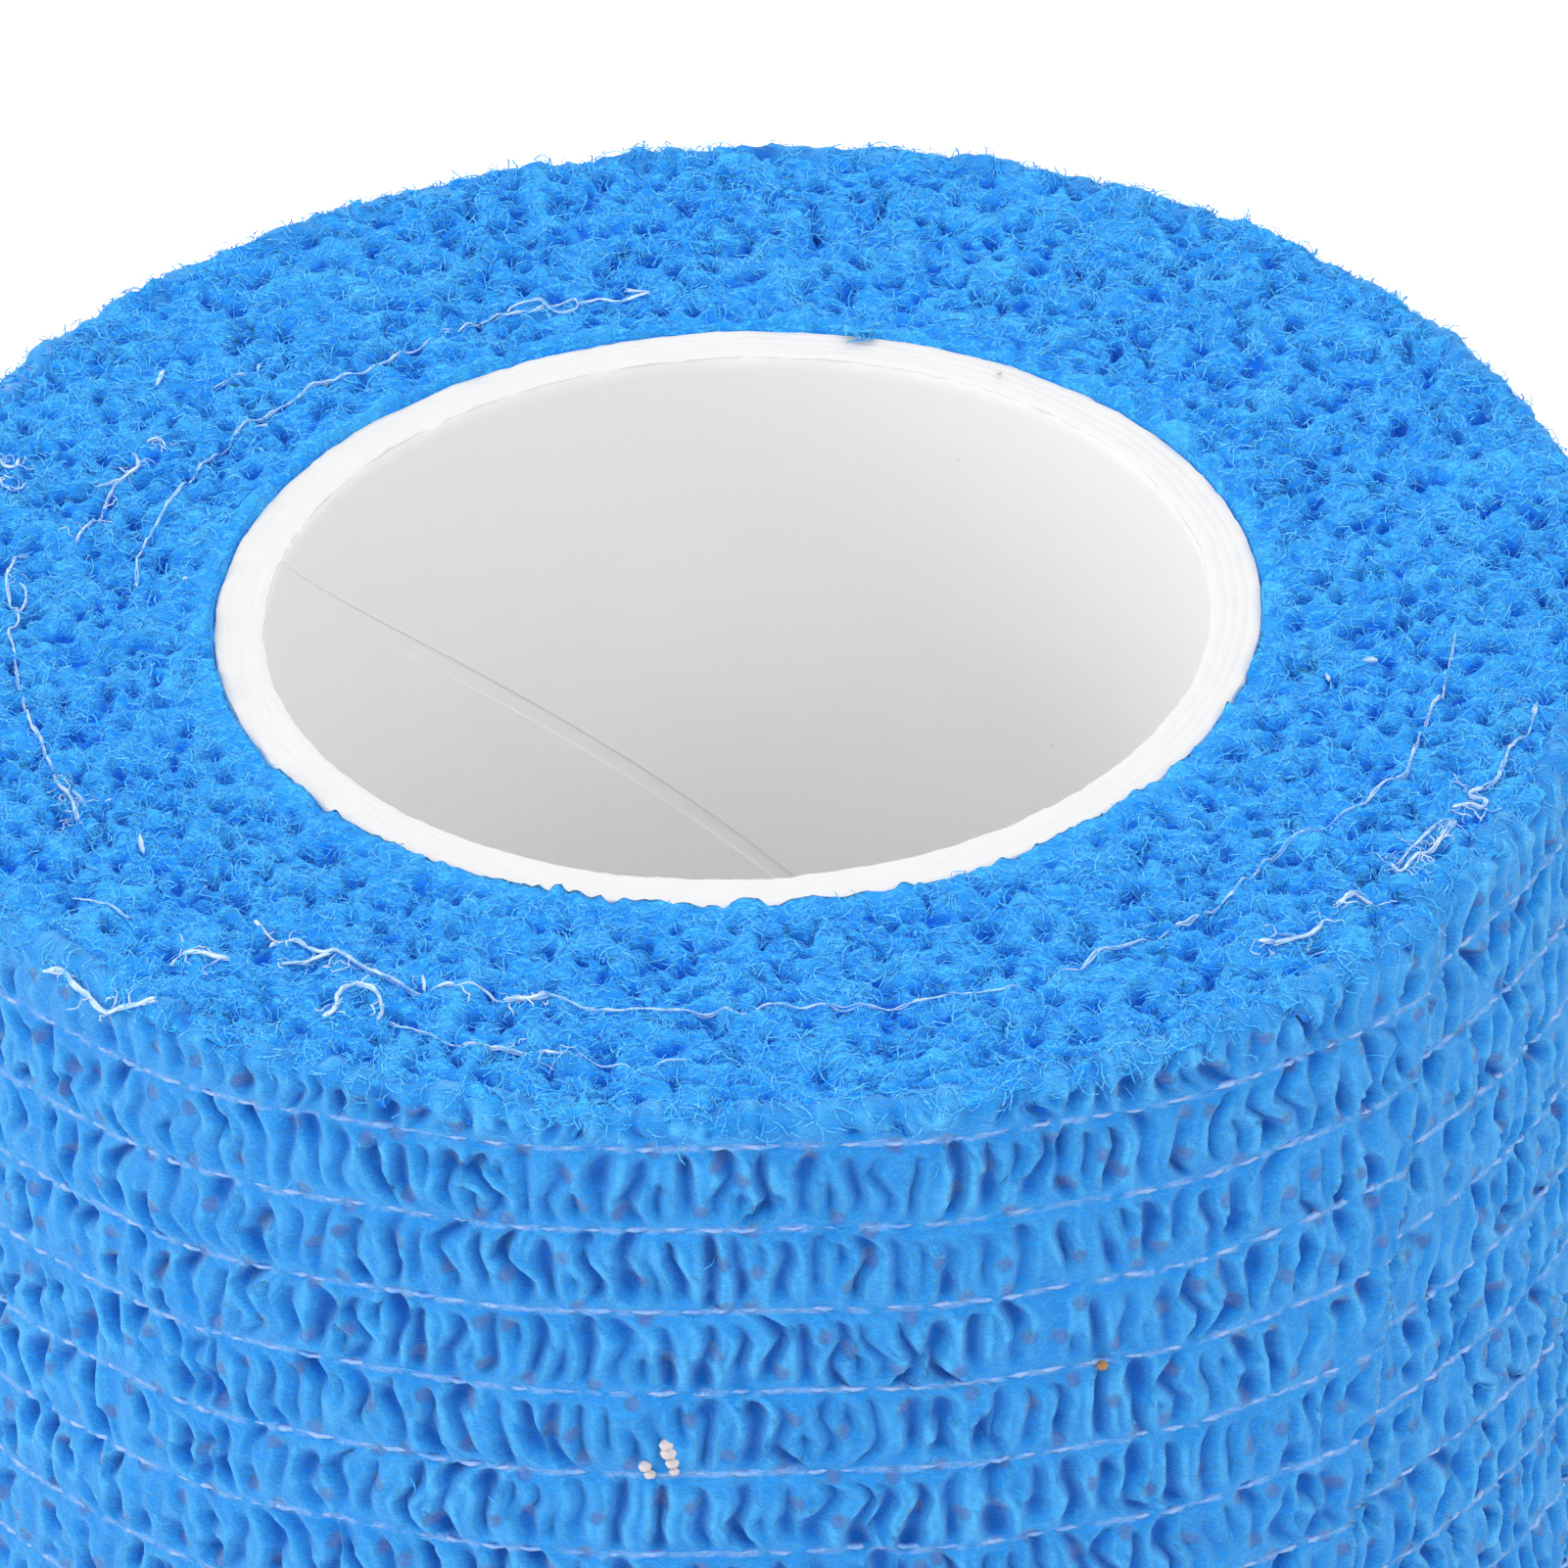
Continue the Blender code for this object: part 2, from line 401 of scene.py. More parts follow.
@dataclass(frozen=True)
class ClothFinish:
    """Blue crinkled nonwoven: matte and felted, with painted shade, darker and deeper in colour, in its
    folds and pits, and a painted highlight on its crests.
    """

    name: str
    weave: Weave
    # the felt's lighter fibres and mottle, and also the painted highlight on raised crests
    crest: Colour = (0.070, 0.500, 0.950)
    base: Colour = (0.015, 0.265, 0.870)
    # painted shade: the darker, deeper blue laid in folds and pits
    hollow_shade: Colour = (0.003, 0.125, 0.700)
    bond: Colour = (0.085, 0.155, 0.440)
    thread: Colour = (0.240, 0.430, 0.820)
    roughness: float = 0.9
    gloss: float = 0.1
    sheen: float = 0.12
    sheen_roughness: float = 0.5
    sheen_tint: Colour = (0.40, 0.78, 1.0)
    tangle_mm: tuple[float, ...] = (0.36, 0.28, 0.21)
    stretch: float = 0.42
    line: float = 0.04
    felt_share: float = 0.8
    broad_share: float = 0.25
    bump_mm: float = 0.03
    pitch_mm: float = 3.06
    dot_gap_mm: float = 1.9
    dot_mm: float = 0.27
    dimple_mm: float = 0.09
    thread_half_mm: float = 0.10
    rim_mm: tuple[float, float] = (49.0, 49.4)  # between these heights the dots fade out

    def build(self) -> bpy.types.Material:
        """Makes the material."""
        dye = Dye(self.name)
        wires, where = dye.wires, dye.wires.where()
        felt = self.felt(wires, where)
        broad = wires.noise(where, 1.6, 3.0)
        colour = wires.mix(wires.math("MULTIPLY", felt, self.felt_share), rgba(self.base), rgba(self.crest))
        colour = wires.mix(wires.span(broad, 0.40, 0.66, 0.0, self.broad_share), colour, rgba(self.crest))
        height = felt
        if self.weave is not Weave.FIBRE:
            # painted highlight on crests, then painted shade in folds and pits, both read from the mesh's
            # stored depth-in-fold share
            deep = wires.add("ShaderNodeAttribute", attribute_name="hollow_shade").outputs["Fac"]
            colour = wires.mix(wires.span(deep, -1.0, 0.0, 1.0, 0.0), colour, rgba(self.crest))
            colour = wires.mix(wires.span(deep, 0.05, 0.85, 0.0, 0.92), colour, rgba(self.hollow_shade))
        if self.weave is Weave.SIDE:
            colour, dot = self.printed(wires, where, colour)
            sunk = wires.math("MULTIPLY", dot, -self.dimple_mm / self.bump_mm)
            height = wires.math("ADD", height, sunk)
        dye.emboss(height, self.bump_mm, 1.0)
        values = {
            "Roughness": self.roughness,
            "Specular IOR Level": self.gloss,
            "Sheen Weight": self.sheen,
            "Sheen Roughness": self.sheen_roughness,
            "Sheen Tint": rgba(self.sheen_tint),
        }
        return dye.end(colour, values)

    def felt(self, wires: Wiring, where: Any) -> Any:
        """Tangled fibres: the thin level lines of a few noises, laid over each other.

        Args:
            wires: the material's wiring.
            where: object coordinates.

        Returns:
            1 on a fibre, 0 between them.
        """
        total = None
        for number, size in enumerate(self.tangle_mm):
            shift = (0.0137 * number, 0.0071 * number, 0.0113 * number)
            turn = (0.5 * number, 0.3 * number, math.radians(60 * number))
            inputs = {"Vector": where, "Location": shift, "Rotation": turn, "Scale": (self.stretch, 1, 1)}
            moved = wires.add("ShaderNodeMapping", inputs)
            level = wires.noise(moved.outputs[0], size, 2.0, 0.45)
            away = wires.math("ABSOLUTE", wires.math("SUBTRACT", level, 0.5))
            line = wires.span(away, 0.0, self.line, 1.0, 0.0)
            total = line if total is None else wires.math("MAXIMUM", total, line)
        return total

    def printed(self, wires: Wiring, where: Any, colour: Any) -> tuple[Any, Any]:
        """Adds the bond dots and the threads that show through the outer web.

        Args:
            wires: the material's wiring.
            where: object coordinates.
            colour: the colour so far.

        Returns:
            The colour with both added, and the dots.
        """
        cloth = wires.add("ShaderNodeUVMap", uv_map="cloth").outputs[0]
        split = wires.add("ShaderNodeSeparateXYZ", {0: cloth})
        fold, row = split.outputs[0], split.outputs[1]
        down = wires.math("MULTIPLY", row, self.pitch_mm)
        flat = wires.joined(fold, down)
        scale = 1 / self.dot_gap_mm
        inputs = {"Vector": flat, "Scale": scale, "Randomness": 0.72}
        cells = wires.add("ShaderNodeTexVoronoi", inputs, voronoi_dimensions="2D")
        rim = self.dot_mm * scale
        dot = wires.span(cells.outputs["Distance"], rim * 0.45, rim * 1.3, 1.0, 0.0)
        height = wires.height(where)
        low, high = self.rim_mm
        dot = wires.math("MULTIPLY", dot, wires.span(height, low * MM, high * MM, 1.0, 0.0))
        grain = wires.noise(where, 0.25, 2.0)
        tinted = wires.math("MULTIPLY", dot, wires.span(grain, 0.3, 0.6, 0.55, 0.82))
        colour = wires.mix(tinted, colour, rgba(self.bond))
        nearest = wires.math("ABSOLUTE", wires.math("SUBTRACT", row, wires.math("ROUND", row)))
        reach = self.thread_half_mm / self.pitch_mm
        line = wires.span(nearest, reach * 0.5, reach * 1.6, 1.0, 0.0)
        patchy = wires.span(wires.noise(where, 0.8, 2.0), 0.4, 0.6, 0.0, 0.6)
        return wires.mix(wires.math("MULTIPLY", line, patchy), colour, rgba(self.thread)), dot


@dataclass(frozen=True)
class ThreadFinish:
    """Pale yarn, darker in random patches, with a painted blue cast that stands for light bounced off the
    cloth round it.
    """

    name: str
    # both colours carry a painted blue cast, light bounced from the cloth round the pale yarn
    colour: Colour
    shade: Colour
    roughness: float = 0.55
    gloss: float = 0.15

    def build(self) -> bpy.types.Material:
        """Makes the material."""
        dye = Dye(self.name)
        wires, where = dye.wires, dye.wires.where()
        spots = wires.span(wires.noise(where, 0.5, 3.0), 0.35, 0.6)
        colour = wires.mix(spots, rgba(self.shade), rgba(self.colour))
        dye.emboss(wires.noise(where, 0.04, 2.0), 0.01, 0.6)
        return dye.end(colour, {"Roughness": self.roughness, "Specular IOR Level": self.gloss})


@dataclass(frozen=True)
class PaperFinish:
    """Smooth white core paper with a faint fibre grain and a few dark specks; painted shade darkens it
    towards both ends, and more on the cut ends, toning down the bright light they catch.
    """

    name: str
    length: float
    white: Colour = (0.90, 0.90, 0.90)
    shade: Colour = (0.88, 0.88, 0.88)
    # painted shade: the colour the paper darkens to towards both ends of the tube, over the length below
    mouth_shade: Colour = (0.84, 0.84, 0.84)
    mouth_shade_mm: float = 11.0
    # painted shade on the cut ends, toning down the bright light they catch
    cut: Colour = (0.65, 0.65, 0.652)
    speck: Colour = (0.30, 0.30, 0.31)
    roughness: float = 0.62
    gloss: float = 0.3

    def build(self) -> bpy.types.Material:
        """Makes the material."""
        dye = Dye(self.name)
        wires, where = dye.wires, dye.wires.where()
        grain = wires.noise(where, 0.35, 4.0, 0.6)
        clouds = wires.noise(where, 4.0, 2.0)
        colour = wires.mix(wires.span(clouds, 0.3, 0.7, 0.0, 0.5), rgba(self.white), rgba(self.shade))
        cells = wires.add("ShaderNodeTexVoronoi", {"Vector": where, "Scale": 1 / (2.6 * MM)})
        dots = wires.span(cells.outputs["Distance"], 0.018, 0.036, 1.0, 0.0)
        dots = wires.math("MULTIPLY", dots, wires.span(clouds, 0.46, 0.54, 0.0, 0.7))
        colour = wires.mix(dots, colour, rgba(self.speck))
        height = wires.height(where)
        middle = 0.5 * self.length * MM
        off = wires.math("ABSOLUTE", wires.math("SUBTRACT", height, middle))
        # painted shade: darker over the last stretch towards each end of the tube
        mouth_shade = wires.span(off, middle - self.mouth_shade_mm * MM, middle)
        colour = wires.mix(mouth_shade, colour, rgba(self.mouth_shade))
        # painted shade on the cut ends, toning down the bright light they catch
        at_end = wires.span(off, middle - 0.17 * MM, middle - 0.09 * MM)
        colour = wires.mix(at_end, colour, rgba(self.cut))
        dye.emboss(grain, 0.012, 0.7)
        return dye.end(colour, {"Roughness": self.roughness, "Specular IOR Level": self.gloss})


@dataclass(frozen=True)
class CrumbFinish:
    """Dried gum, in patches of its colour and a darker one."""

    name: str
    colour: Colour
    roughness: float = 0.6

    def build(self) -> bpy.types.Material:
        """Makes the material."""
        dye = Dye(self.name)
        wires, where = dye.wires, dye.wires.where()
        spots = wires.noise(where, 0.4, 2.0)
        darker = tuple(0.85 * part for part in self.colour)
        colour = wires.mix(wires.span(spots, 0.3, 0.7), rgba(darker), rgba(self.colour))
        return dye.end(colour, {"Roughness": self.roughness})


# ---------------------------------------------------------------- geometry node recipes


class Recipe:
    """One geometry node tree, its named inputs and how it is run on an object."""

    def __init__(self, name: str, numbers: Sequence[str], counts: Sequence[str]) -> None:
        """Starts the tree, whose inputs are some numbers, some whole numbers and the finish."""
        self.tree = bpy.data.node_groups.new(name, "GeometryNodeTree")
        interface = self.tree.interface
        interface.new_socket("Geometry", in_out="INPUT", socket_type="NodeSocketGeometry")
        for kind, keys in (("Float", numbers), ("Int", counts), ("Material", ("Finish",))):
            for key in keys:
                interface.new_socket(key, in_out="INPUT", socket_type=f"NodeSocket{kind}")
        interface.new_socket("Geometry", in_out="OUTPUT", socket_type="NodeSocketGeometry")
        self.wires = Wiring(self.tree)
        self.given = self.wires.add("NodeGroupInput").outputs

    def finish(self, geometry: bpy.types.NodeSocket) -> None:
        """Ends the tree: instances made real, shaded smooth and given the finish."""
        real = self.wires.add("GeometryNodeRealizeInstances", {0: geometry}).outputs[0]
        smooth = self.wires.add("GeometryNodeSetShadeSmooth", {"Geometry": real}).outputs[0]
        inputs = {"Geometry": smooth, "Material": self.given["Finish"]}
        dressed = self.wires.add("GeometryNodeSetMaterial", inputs).outputs[0]
        self.wires.add("NodeGroupOutput", {0: dressed})

    def run(self, source: bpy.types.Object, name: str, **values: Any) -> bpy.types.Object:
        """Runs the tree on an object and keeps the result as a plain mesh.

        Args:
            source: the object that the tree reads, which is left as it was.
            name: the new piece's name.
            **values: the named inputs' values, Finish among them.

        Returns:
            The new piece.
        """
        modifier = source.modifiers.new("recipe", "NODES")
        modifier.node_group = self.tree
        for item in self.tree.interface.items_tree:
            if item.in_out == "INPUT" and item.name in values:
                modifier[item.identifier] = values[item.name]
        graph = bpy.context.evaluated_depsgraph_get()
        mesh = bpy.data.meshes.new_from_object(source.evaluated_get(graph), depsgraph=graph)
        source.modifiers.remove(modifier)
        mesh.name = name
        return add_piece(name, mesh, values["Finish"])


def fuzz_recipe() -> Recipe:
    """Scatters curled fibre ribbons over a cloth mesh, thickest where its fuzz attribute is 1."""
    recipe = Recipe("fibre_fuzz", ("Density", "Length", "Width"), ("Seed",))
    wires, given = recipe.wires, recipe.given
    density = wires.math("MULTIPLY", given["Density"], wires.math("POWER", wires.stored("fuzz"), 2.0))
    spread = wires.add(
        "GeometryNodeDistributePointsOnFaces",
        {"Mesh": given["Geometry"], "Density": density, "Seed": given["Seed"]},
        distribute_method="RANDOM",
    )
    half = wires.math("MULTIPLY", given["Width"], 0.5)
    ends = [wires.joined(wires.math("MULTIPLY", half, side)) for side in (-1.0, 1.0)]
    ribbon = wires.add("GeometryNodeCurvePrimitiveLine", {"Start": ends[0], "End": ends[1]}).outputs[0]
    curls = wires.add("GeometryNodeJoinGeometry")
    bends = (
        # start, middle, end, as shares of the length
        ((-0.5, 0.0, -0.06), (0.0, 0.30, 0.24), (0.5, 0.05, -0.06)),
        ((-0.5, 0.1, -0.06), (0.1, -0.45, 0.22), (0.4, 0.20, -0.02)),
        ((-0.4, 0.0, -0.06), (-0.2, 0.40, 0.26), (0.3, 0.35, 0.06)),
        ((-0.3, 0.0, -0.06), (0.0, 0.20, 0.44), (0.35, -0.05, 0.18)),
    )
    for bend in bends:
        start, middle, end = (wires.vector("SCALE", spot, given["Length"]) for spot in bend)
        inputs = {"Resolution": 3, "Start": start, "Middle": middle, "End": end}
        arc = wires.add("GeometryNodeCurveQuadraticBezier", inputs).outputs[0]
        flat = wires.add("GeometryNodeSetCurveNormal", {0: arc}, mode="Z_UP").outputs[0]
        packed = wires.add("GeometryNodeGeometryToInstance", {0: wires.swept(flat, ribbon)})
        wires.tree.links.new(packed.outputs[0], curls.inputs[0])
    pick = wires.add(
        "FunctionNodeRandomValue", {"Min": 0, "Max": len(bends) - 1, "Seed": 3}, data_type="INT"
    )
    tilt = wires.add(
        "FunctionNodeRandomValue",
        {0: (-0.3, -0.3, -math.pi), 1: (0.3, 0.3, math.pi), "Seed": 5},
        data_type="FLOAT_VECTOR",
    )
    lean = wires.add("FunctionNodeEulerToRotation", {0: tilt.outputs[0]})
    turned = wires.add(
        "FunctionNodeRotateRotation",
        {0: spread.outputs["Rotation"], 1: lean.outputs[0]},
        rotation_space="LOCAL",
    )
    size = wires.add("FunctionNodeRandomValue", {2: 0.5, 3: 1.5, "Seed": 7}, data_type="FLOAT")
    placed = wires.add(
        "GeometryNodeInstanceOnPoints",
        {
            "Points": spread.outputs["Points"],
            "Instance": curls.outputs[0],
            "Pick Instance": True,
            "Instance Index": pick.outputs[2],
            "Rotation": turned.outputs[0],
            "Scale": size.outputs[1],
        },
    )
    recipe.finish(placed.outputs[0])
    return recipe


def tube_recipe() -> Recipe:
    """Turns a section into a ragged-ended tube and cuts one spiral seam out of its inside."""
    seam = ("Radius", "Growth", "Thickness", "Width", "Rise", "Turns", "Start", "Drop")
    numbers = ("Radius", "Length", "Ragged", *(f"Seam {key}" for key in seam))
    recipe = Recipe("spiral_tube", numbers, ("Segments",))
    wires, given = recipe.wires, recipe.given
    section = wires.add("GeometryNodeMeshToCurve", {0: given["Geometry"]}).outputs[0]
    ring = wires.add(
        "GeometryNodeCurvePrimitiveCircle", {"Resolution": given["Segments"], "Radius": given["Radius"]}
    ).outputs[0]
    upright = wires.add("GeometryNodeSetCurveNormal", {0: ring}, mode="Z_UP").outputs[0]
    wall = wires.swept(upright, section)
    spot = wires.add("GeometryNodeInputPosition").outputs[0]
    height = wires.height(spot)
    middle = wires.math("MULTIPLY", given["Length"], 0.5)
    from_end = wires.math("SUBTRACT", middle, wires.math("ABSOLUTE", wires.math("SUBTRACT", height, middle)))
    at_end = wires.span(from_end, 0.0, 0.0006, 1.0, 0.0)
    offset = None
    for size_mm, share in ((2.4, 0.6), (0.5, 0.6)):
        noise = wires.add(
            "ShaderNodeTexNoise", {"Vector": spot, "Scale": 1 / (size_mm * MM), "Detail": 1.0}
        ).outputs["Color"]
        centred = wires.vector("SUBTRACT", noise, (0.5, 0.5, 0.62))
        reach = wires.math("MULTIPLY", wires.math("MULTIPLY", given["Ragged"], share * 2), at_end)
        push = wires.vector("SCALE", centred, reach)
        offset = push if offset is None else wires.vector("ADD", offset, push)
    flipped = wires.joined(1.0, 1.0, wires.math("SIGN", wires.math("SUBTRACT", height, middle)))
    offset = wires.vector("MULTIPLY", offset, flipped)
    worn = wires.add("GeometryNodeSetPosition", {"Geometry": wall, "Offset": offset}).outputs[0]
    helix = wires.add(
        "GeometryNodeCurveSpiral",
        {
            "Resolution": 150,
            "Rotations": given["Seam Turns"],
            "Start Radius": wires.math("ADD", given["Seam Radius"], given["Seam Growth"]),
            "End Radius": given["Seam Radius"],
            "Height": given["Seam Rise"],
            "Reverse": True,
        },
    ).outputs[0]
    upright = wires.add("GeometryNodeSetCurveNormal", {0: helix}, mode="Z_UP").outputs[0]
    bar = wires.add(
        "GeometryNodeCurvePrimitiveQuadrilateral",
        {"Width": given["Seam Thickness"], "Height": given["Seam Width"]},
    ).outputs[0]
    inputs = {
        "Geometry": wires.swept(upright, bar, **{"Fill Caps": True}),
        "Translation": wires.joined(z=given["Seam Drop"]),
        "Rotation": wires.joined(z=given["Seam Start"]),
    }
    placed = wires.add("GeometryNodeTransform", inputs).outputs[0]
    cut = wires.add(
        "GeometryNodeMeshBoolean", {"Mesh 1": worn, "Mesh 2": placed}, operation="DIFFERENCE", solver="EXACT"
    ).outputs["Mesh"]
    recipe.finish(cut)
    return recipe


def strand_recipe() -> Recipe:
    """Sweeps a round section along lines of points, scaled by their thickness attribute."""
    recipe = Recipe("thread_strand", ("Radius",), ("Sides",))
    wires, given = recipe.wires, recipe.given
    lines = wires.add("GeometryNodeMeshToCurve", {0: given["Geometry"]}).outputs[0]
    section = wires.add(
        "GeometryNodeCurvePrimitiveCircle", {"Resolution": given["Sides"], "Radius": given["Radius"]}
    ).outputs[0]
    recipe.finish(wires.swept(lines, section, **{"Scale": wires.stored("thickness"), "Fill Caps": True}))
    return recipe


def sweep(
    strand: Recipe, name: str, laid: Sequence[tuple[Array, Array]], radius: float, finish: bpy.types.Material
) -> bpy.types.Object:
    """Makes one piece of laid strands.

    Args:
        strand: the strand recipe.
        name: the piece's name.
        laid: each strand's points in millimetres, and its thickness at each, 1 being its full radius.
        radius: a strand's full radius.
        finish: the material.

    Returns:
        The piece.
    """
    edges = []
    start = 0
    for line, _ in laid:
        edges += [(start + step, start + step + 1) for step in range(len(line) - 1)]
        start += len(line)
    helper = add_helper(name + "_lines", np.concatenate([line for line, _ in laid]) * MM, edges)
    layer = helper.data.attributes.new("thickness", "FLOAT", "POINT")
    layer.data.foreach_set("value", np.concatenate([thick for _, thick in laid]).astype(np.float32))
    piece = strand.run(helper, name, Radius=radius * MM, Sides=STRAND_SIDES, Finish=finish)
    bpy.data.objects.remove(helper, do_unlink=True)
    settle(piece, CLOTH_SLOT)
    return piece


@dataclass(frozen=True)
class WoundForm:
    """The roll's form that the cloth pieces share, in millimetres, as the solids have it."""

    width: float = 50.0
    radius: float = 28.6
    bore: float = 16.9
    layer: float = 0.70
    uneven: float = 0.12
    thread_rows: int = 16
    pitch: float = 3.06
    first_thread: float = 1.2
    tail_bearing: float = 49.0
    tail_slant: float = 0.42
    tail_face: float = 0.5
    drift_bearings: tuple[float, ...] = (-180, -120, -60, -44, -22, 0, 16, 30, 45, 80, 130, 180)
    drift_drops: tuple[float, ...] = (1.4, 1.9, 1.95, 1.45, 0.5, 0.0, 0.5, 1.1, 1.5, 1.8, 1.2, 1.4)

    def drift(self, bearing: Array) -> Array:
        """How far the thread rows lie below their height at the front."""
        bearing = (np.asarray(bearing, float) + 180) % 360 - 180
        knots, drops = np.array(self.drift_bearings), np.array(self.drift_drops)
        low = np.clip(np.searchsorted(knots, bearing, side="right") - 1, 0, len(knots) - 2)
        share = ease((bearing - knots[low]) / (knots[low + 1] - knots[low]))
        return drops[low] * (1 - share) + drops[low + 1] * share

    def back_from_tail(self, bearing: Array, depth: Array) -> Array:
        """Degrees from the cut end back along the outer turn, at a depth under the top edge."""
        return (self.tail_bearing - self.tail_slant * depth - bearing) % 360

    def outer(self, bearing: Array, depth: Array) -> Array:
        """The outer turn's radius: it loses one layer on its way round to the cut end's step."""
        back = self.back_from_tail(bearing, depth)
        turn = np.radians(bearing)
        slow = 0.5 * np.sin(2 * turn + 0.4) + 0.3 * np.sin(5 * turn + 0.8) + 0.2 * np.sin(11 * turn + 1.5)
        step = ease((back - (360 - self.tail_face)) / self.tail_face)
        return self.radius - self.layer * (back / 360) * (1 - step) + self.uneven * slow

    def thread_row(self, bearing: Array, depth: Array) -> Array:
        """Which thread row a place on the side is at, counted down from the first."""
        return (depth - self.first_thread - self.drift(bearing)) / self.pitch

    def thread_depth(self, bearing: Array, row: float | Array) -> Array:
        """How deep under the top edge a thread row lies."""
        return self.first_thread + self.drift(bearing) + row * self.pitch


# ---------------------------------------------------------------- the outer turn


@dataclass
class OuterTurn:
    """The crinkled face of the outer turn, from over the top edge to under the foot."""

    form: WoundForm
    folds: int = 148
    phases: tuple[float, ...] = (0.0, 0.11, 0.23, 0.36, 0.50, 0.64, 0.77, 0.89)
    band_steps: tuple[float, ...] = (0.0, 0.06, 0.13, 0.24, 0.37, 0.50, 0.63, 0.76, 0.87, 0.94)
    knots_per_band: int = 3
    sway: float = 0.15
    jitter: float = 0.17
    slip: float = 0.65
    slip_lanes: int = 3
    slip_mm: float = 0.5
    valley: tuple[float, float] = (0.24, 0.48)
    valley_share: float = 0.99
    valley_reach: tuple[float, float] = (0.10, 0.23)
    gap_valley: float = 0.36
    gap_reach: float = 0.18
    gap_width: tuple[float, float] = (1.14, 1.42)  # fold widths where it starts and is full
    pit_depth: tuple[float, float] = (0.26, 0.68)
    pit_reach: tuple[float, float] = (0.16, 0.32)
    pit_length: tuple[float, float] = (0.10, 0.24)
    pit_share: tuple[float, ...] = (0.50, 0.45)
    thread_dip: float = 0.08
    pillow: float = 0.12
    crest: tuple[float, float] = (-0.10, 0.16)
    crest_place: float = 0.40
    crest_reach: float = 0.15
    lip: float = 0.36
    lip_place: float = 0.16
    lip_reach: float = 0.15
    flank: tuple[float, float] = (20.0, 50.0)
    calm_reach: float = 1.4
    side_fuzz: float = 0.05
    rim_fuzz: float = 0.9
    patch_depth: float = 16.4
    sectors: int = 3
    seed: int = 11
    rim: tuple[tuple[float, float, float], ...] = (
        # inset, depth, how far its face looks up
        (1.60, 0.60, 1.00),
        (1.25, 0.22, 0.98),
        (0.88, 0.08, 0.95),
        (0.55, 0.14, 0.85),
        (0.30, 0.30, 0.70),
        (0.13, 0.51, 0.45),
        (0.03, 0.72, 0.20),
    )
    foot: tuple[tuple[float, float, float], ...] = (
        (0.05, 49.62, -0.35),
        (0.18, 49.82, -0.65),
        (0.40, 49.95, -0.90),
        (0.80, 50.00, -1.00),
        (1.30, 49.80, -1.00),
    )
    top_rows: tuple[float, ...] = (0.86, 0.92, 0.98, 1.04, 1.10, 1.15)
    low_rows: tuple[float, ...] = (47.1, 47.35, 47.7, 48.1, 48.55, 49.0, 49.4)
    knots: dict[str, Array] = field(default_factory=dict)
    slips: Array = field(default_factory=lambda: np.zeros((0, 0)))
    valleys: dict[str, Array] = field(default_factory=dict)
    pits: list[dict[str, Array]] = field(default_factory=list)

    def __post_init__(self) -> None:
        """Draws each fold's course and crease at its knots, and its pits in each band."""
        draw = np.random.default_rng(self.seed)
        bands = self.form.thread_rows + 4
        size = (self.folds, self.knots_per_band * bands)
        together = eased_lanes(draw.normal(size=(self.folds // 4, size[1])), self.folds)
        shift = np.clip(self.sway * together + self.jitter * draw.normal(size=size), -0.40, 0.40)
        self.knots = {
            "shift": shift,
            "reach": draw.uniform(*self.valley_reach, size),
            "left": draw.uniform(*self.crest, size),
            "right": draw.uniform(*self.crest, size),
        }
        size = (self.folds, bands)
        drawn = draw.uniform(-1, 1, (self.folds // self.slip_lanes, bands))
        self.slips = self.slip * eased_lanes(drawn, self.folds)
        there = draw.random(size) < self.valley_share
        self.valleys = {
            "depth": np.where(there, draw.uniform(*self.valley, size), draw.uniform(0, 0.12, size)),
            "start": draw.uniform(0.0, 0.16, size),
            "stop": draw.uniform(0.80, 1.0, size),
        }
        for number, chance in enumerate(self.pit_share):
            there = draw.random(size) < chance + 0.38 * self.on_flank(np.arange(self.folds))[:, None]
            low_end = number / len(self.pit_share)
            spread = 1 / len(self.pit_share)
            self.pits.append(
                {
                    "depth": there * draw.uniform(*self.pit_depth, size),
                    "reach": draw.uniform(*self.pit_reach, size),
                    "length": draw.uniform(*self.pit_length, size),
                    "centre": low_end + spread * draw.uniform(0.2, 0.8, size),
                    "lean": draw.normal(size=size) * 0.10,
                }
            )

    def rows(self) -> tuple[Array, Array, Array, Array]:
        """The grid's rows.

        Returns:
            Inset, depth at the front, how far each looks up, and its share of the threads' drift.
        """
        form = self.form
        side = list(self.top_rows)
        for band in range(form.thread_rows - 1):
            side += [form.first_thread + form.pitch * (band + step) for step in self.band_steps]
        side += list(self.low_rows)
        depth = np.array(side)
        first, last, end = form.first_thread, self.low_rows[0], self.foot[0][1]
        rising = ease((depth - self.top_rows[0]) / (first - self.top_rows[0]))
        falling = 1 - np.clip((depth - last) / (end - last), 0, 1)
        rim, foot = np.array(self.rim), np.array(self.foot)
        flat = np.zeros(len(side))
        return (
            np.concatenate([rim[:, 0], flat, foot[:, 0]]),
            np.concatenate([rim[:, 1], depth, foot[:, 1]]),
            np.concatenate([rim[:, 2], flat, foot[:, 2]]),
            np.concatenate([np.zeros(len(rim)), np.minimum(rising, falling), np.zeros(len(foot))]),
        )

    def on_flank(self, fold: Array) -> Array:
        """How far a fold is out on a flank, where the cloth crinkles into pits, from 0 to 1."""
        bearing = np.abs(fold / self.folds * 360 - 180)
        start, full = self.flank
        return ease((bearing - start) / (full - start))

    def slipped(self, lane: Array, row: Array) -> Array:
        """How far a fold has slipped sideways in its band: the folds start anew at each thread."""
        under = np.clip(np.round(row + 2).astype(int), 1, self.slips.shape[1] - 1)
        past = ease((row + 2 - under) * self.form.pitch / self.slip_mm + 0.5)
        lane = lane % self.folds
        return self.slips[lane, under - 1] * (1 - past) + self.slips[lane, under] * past

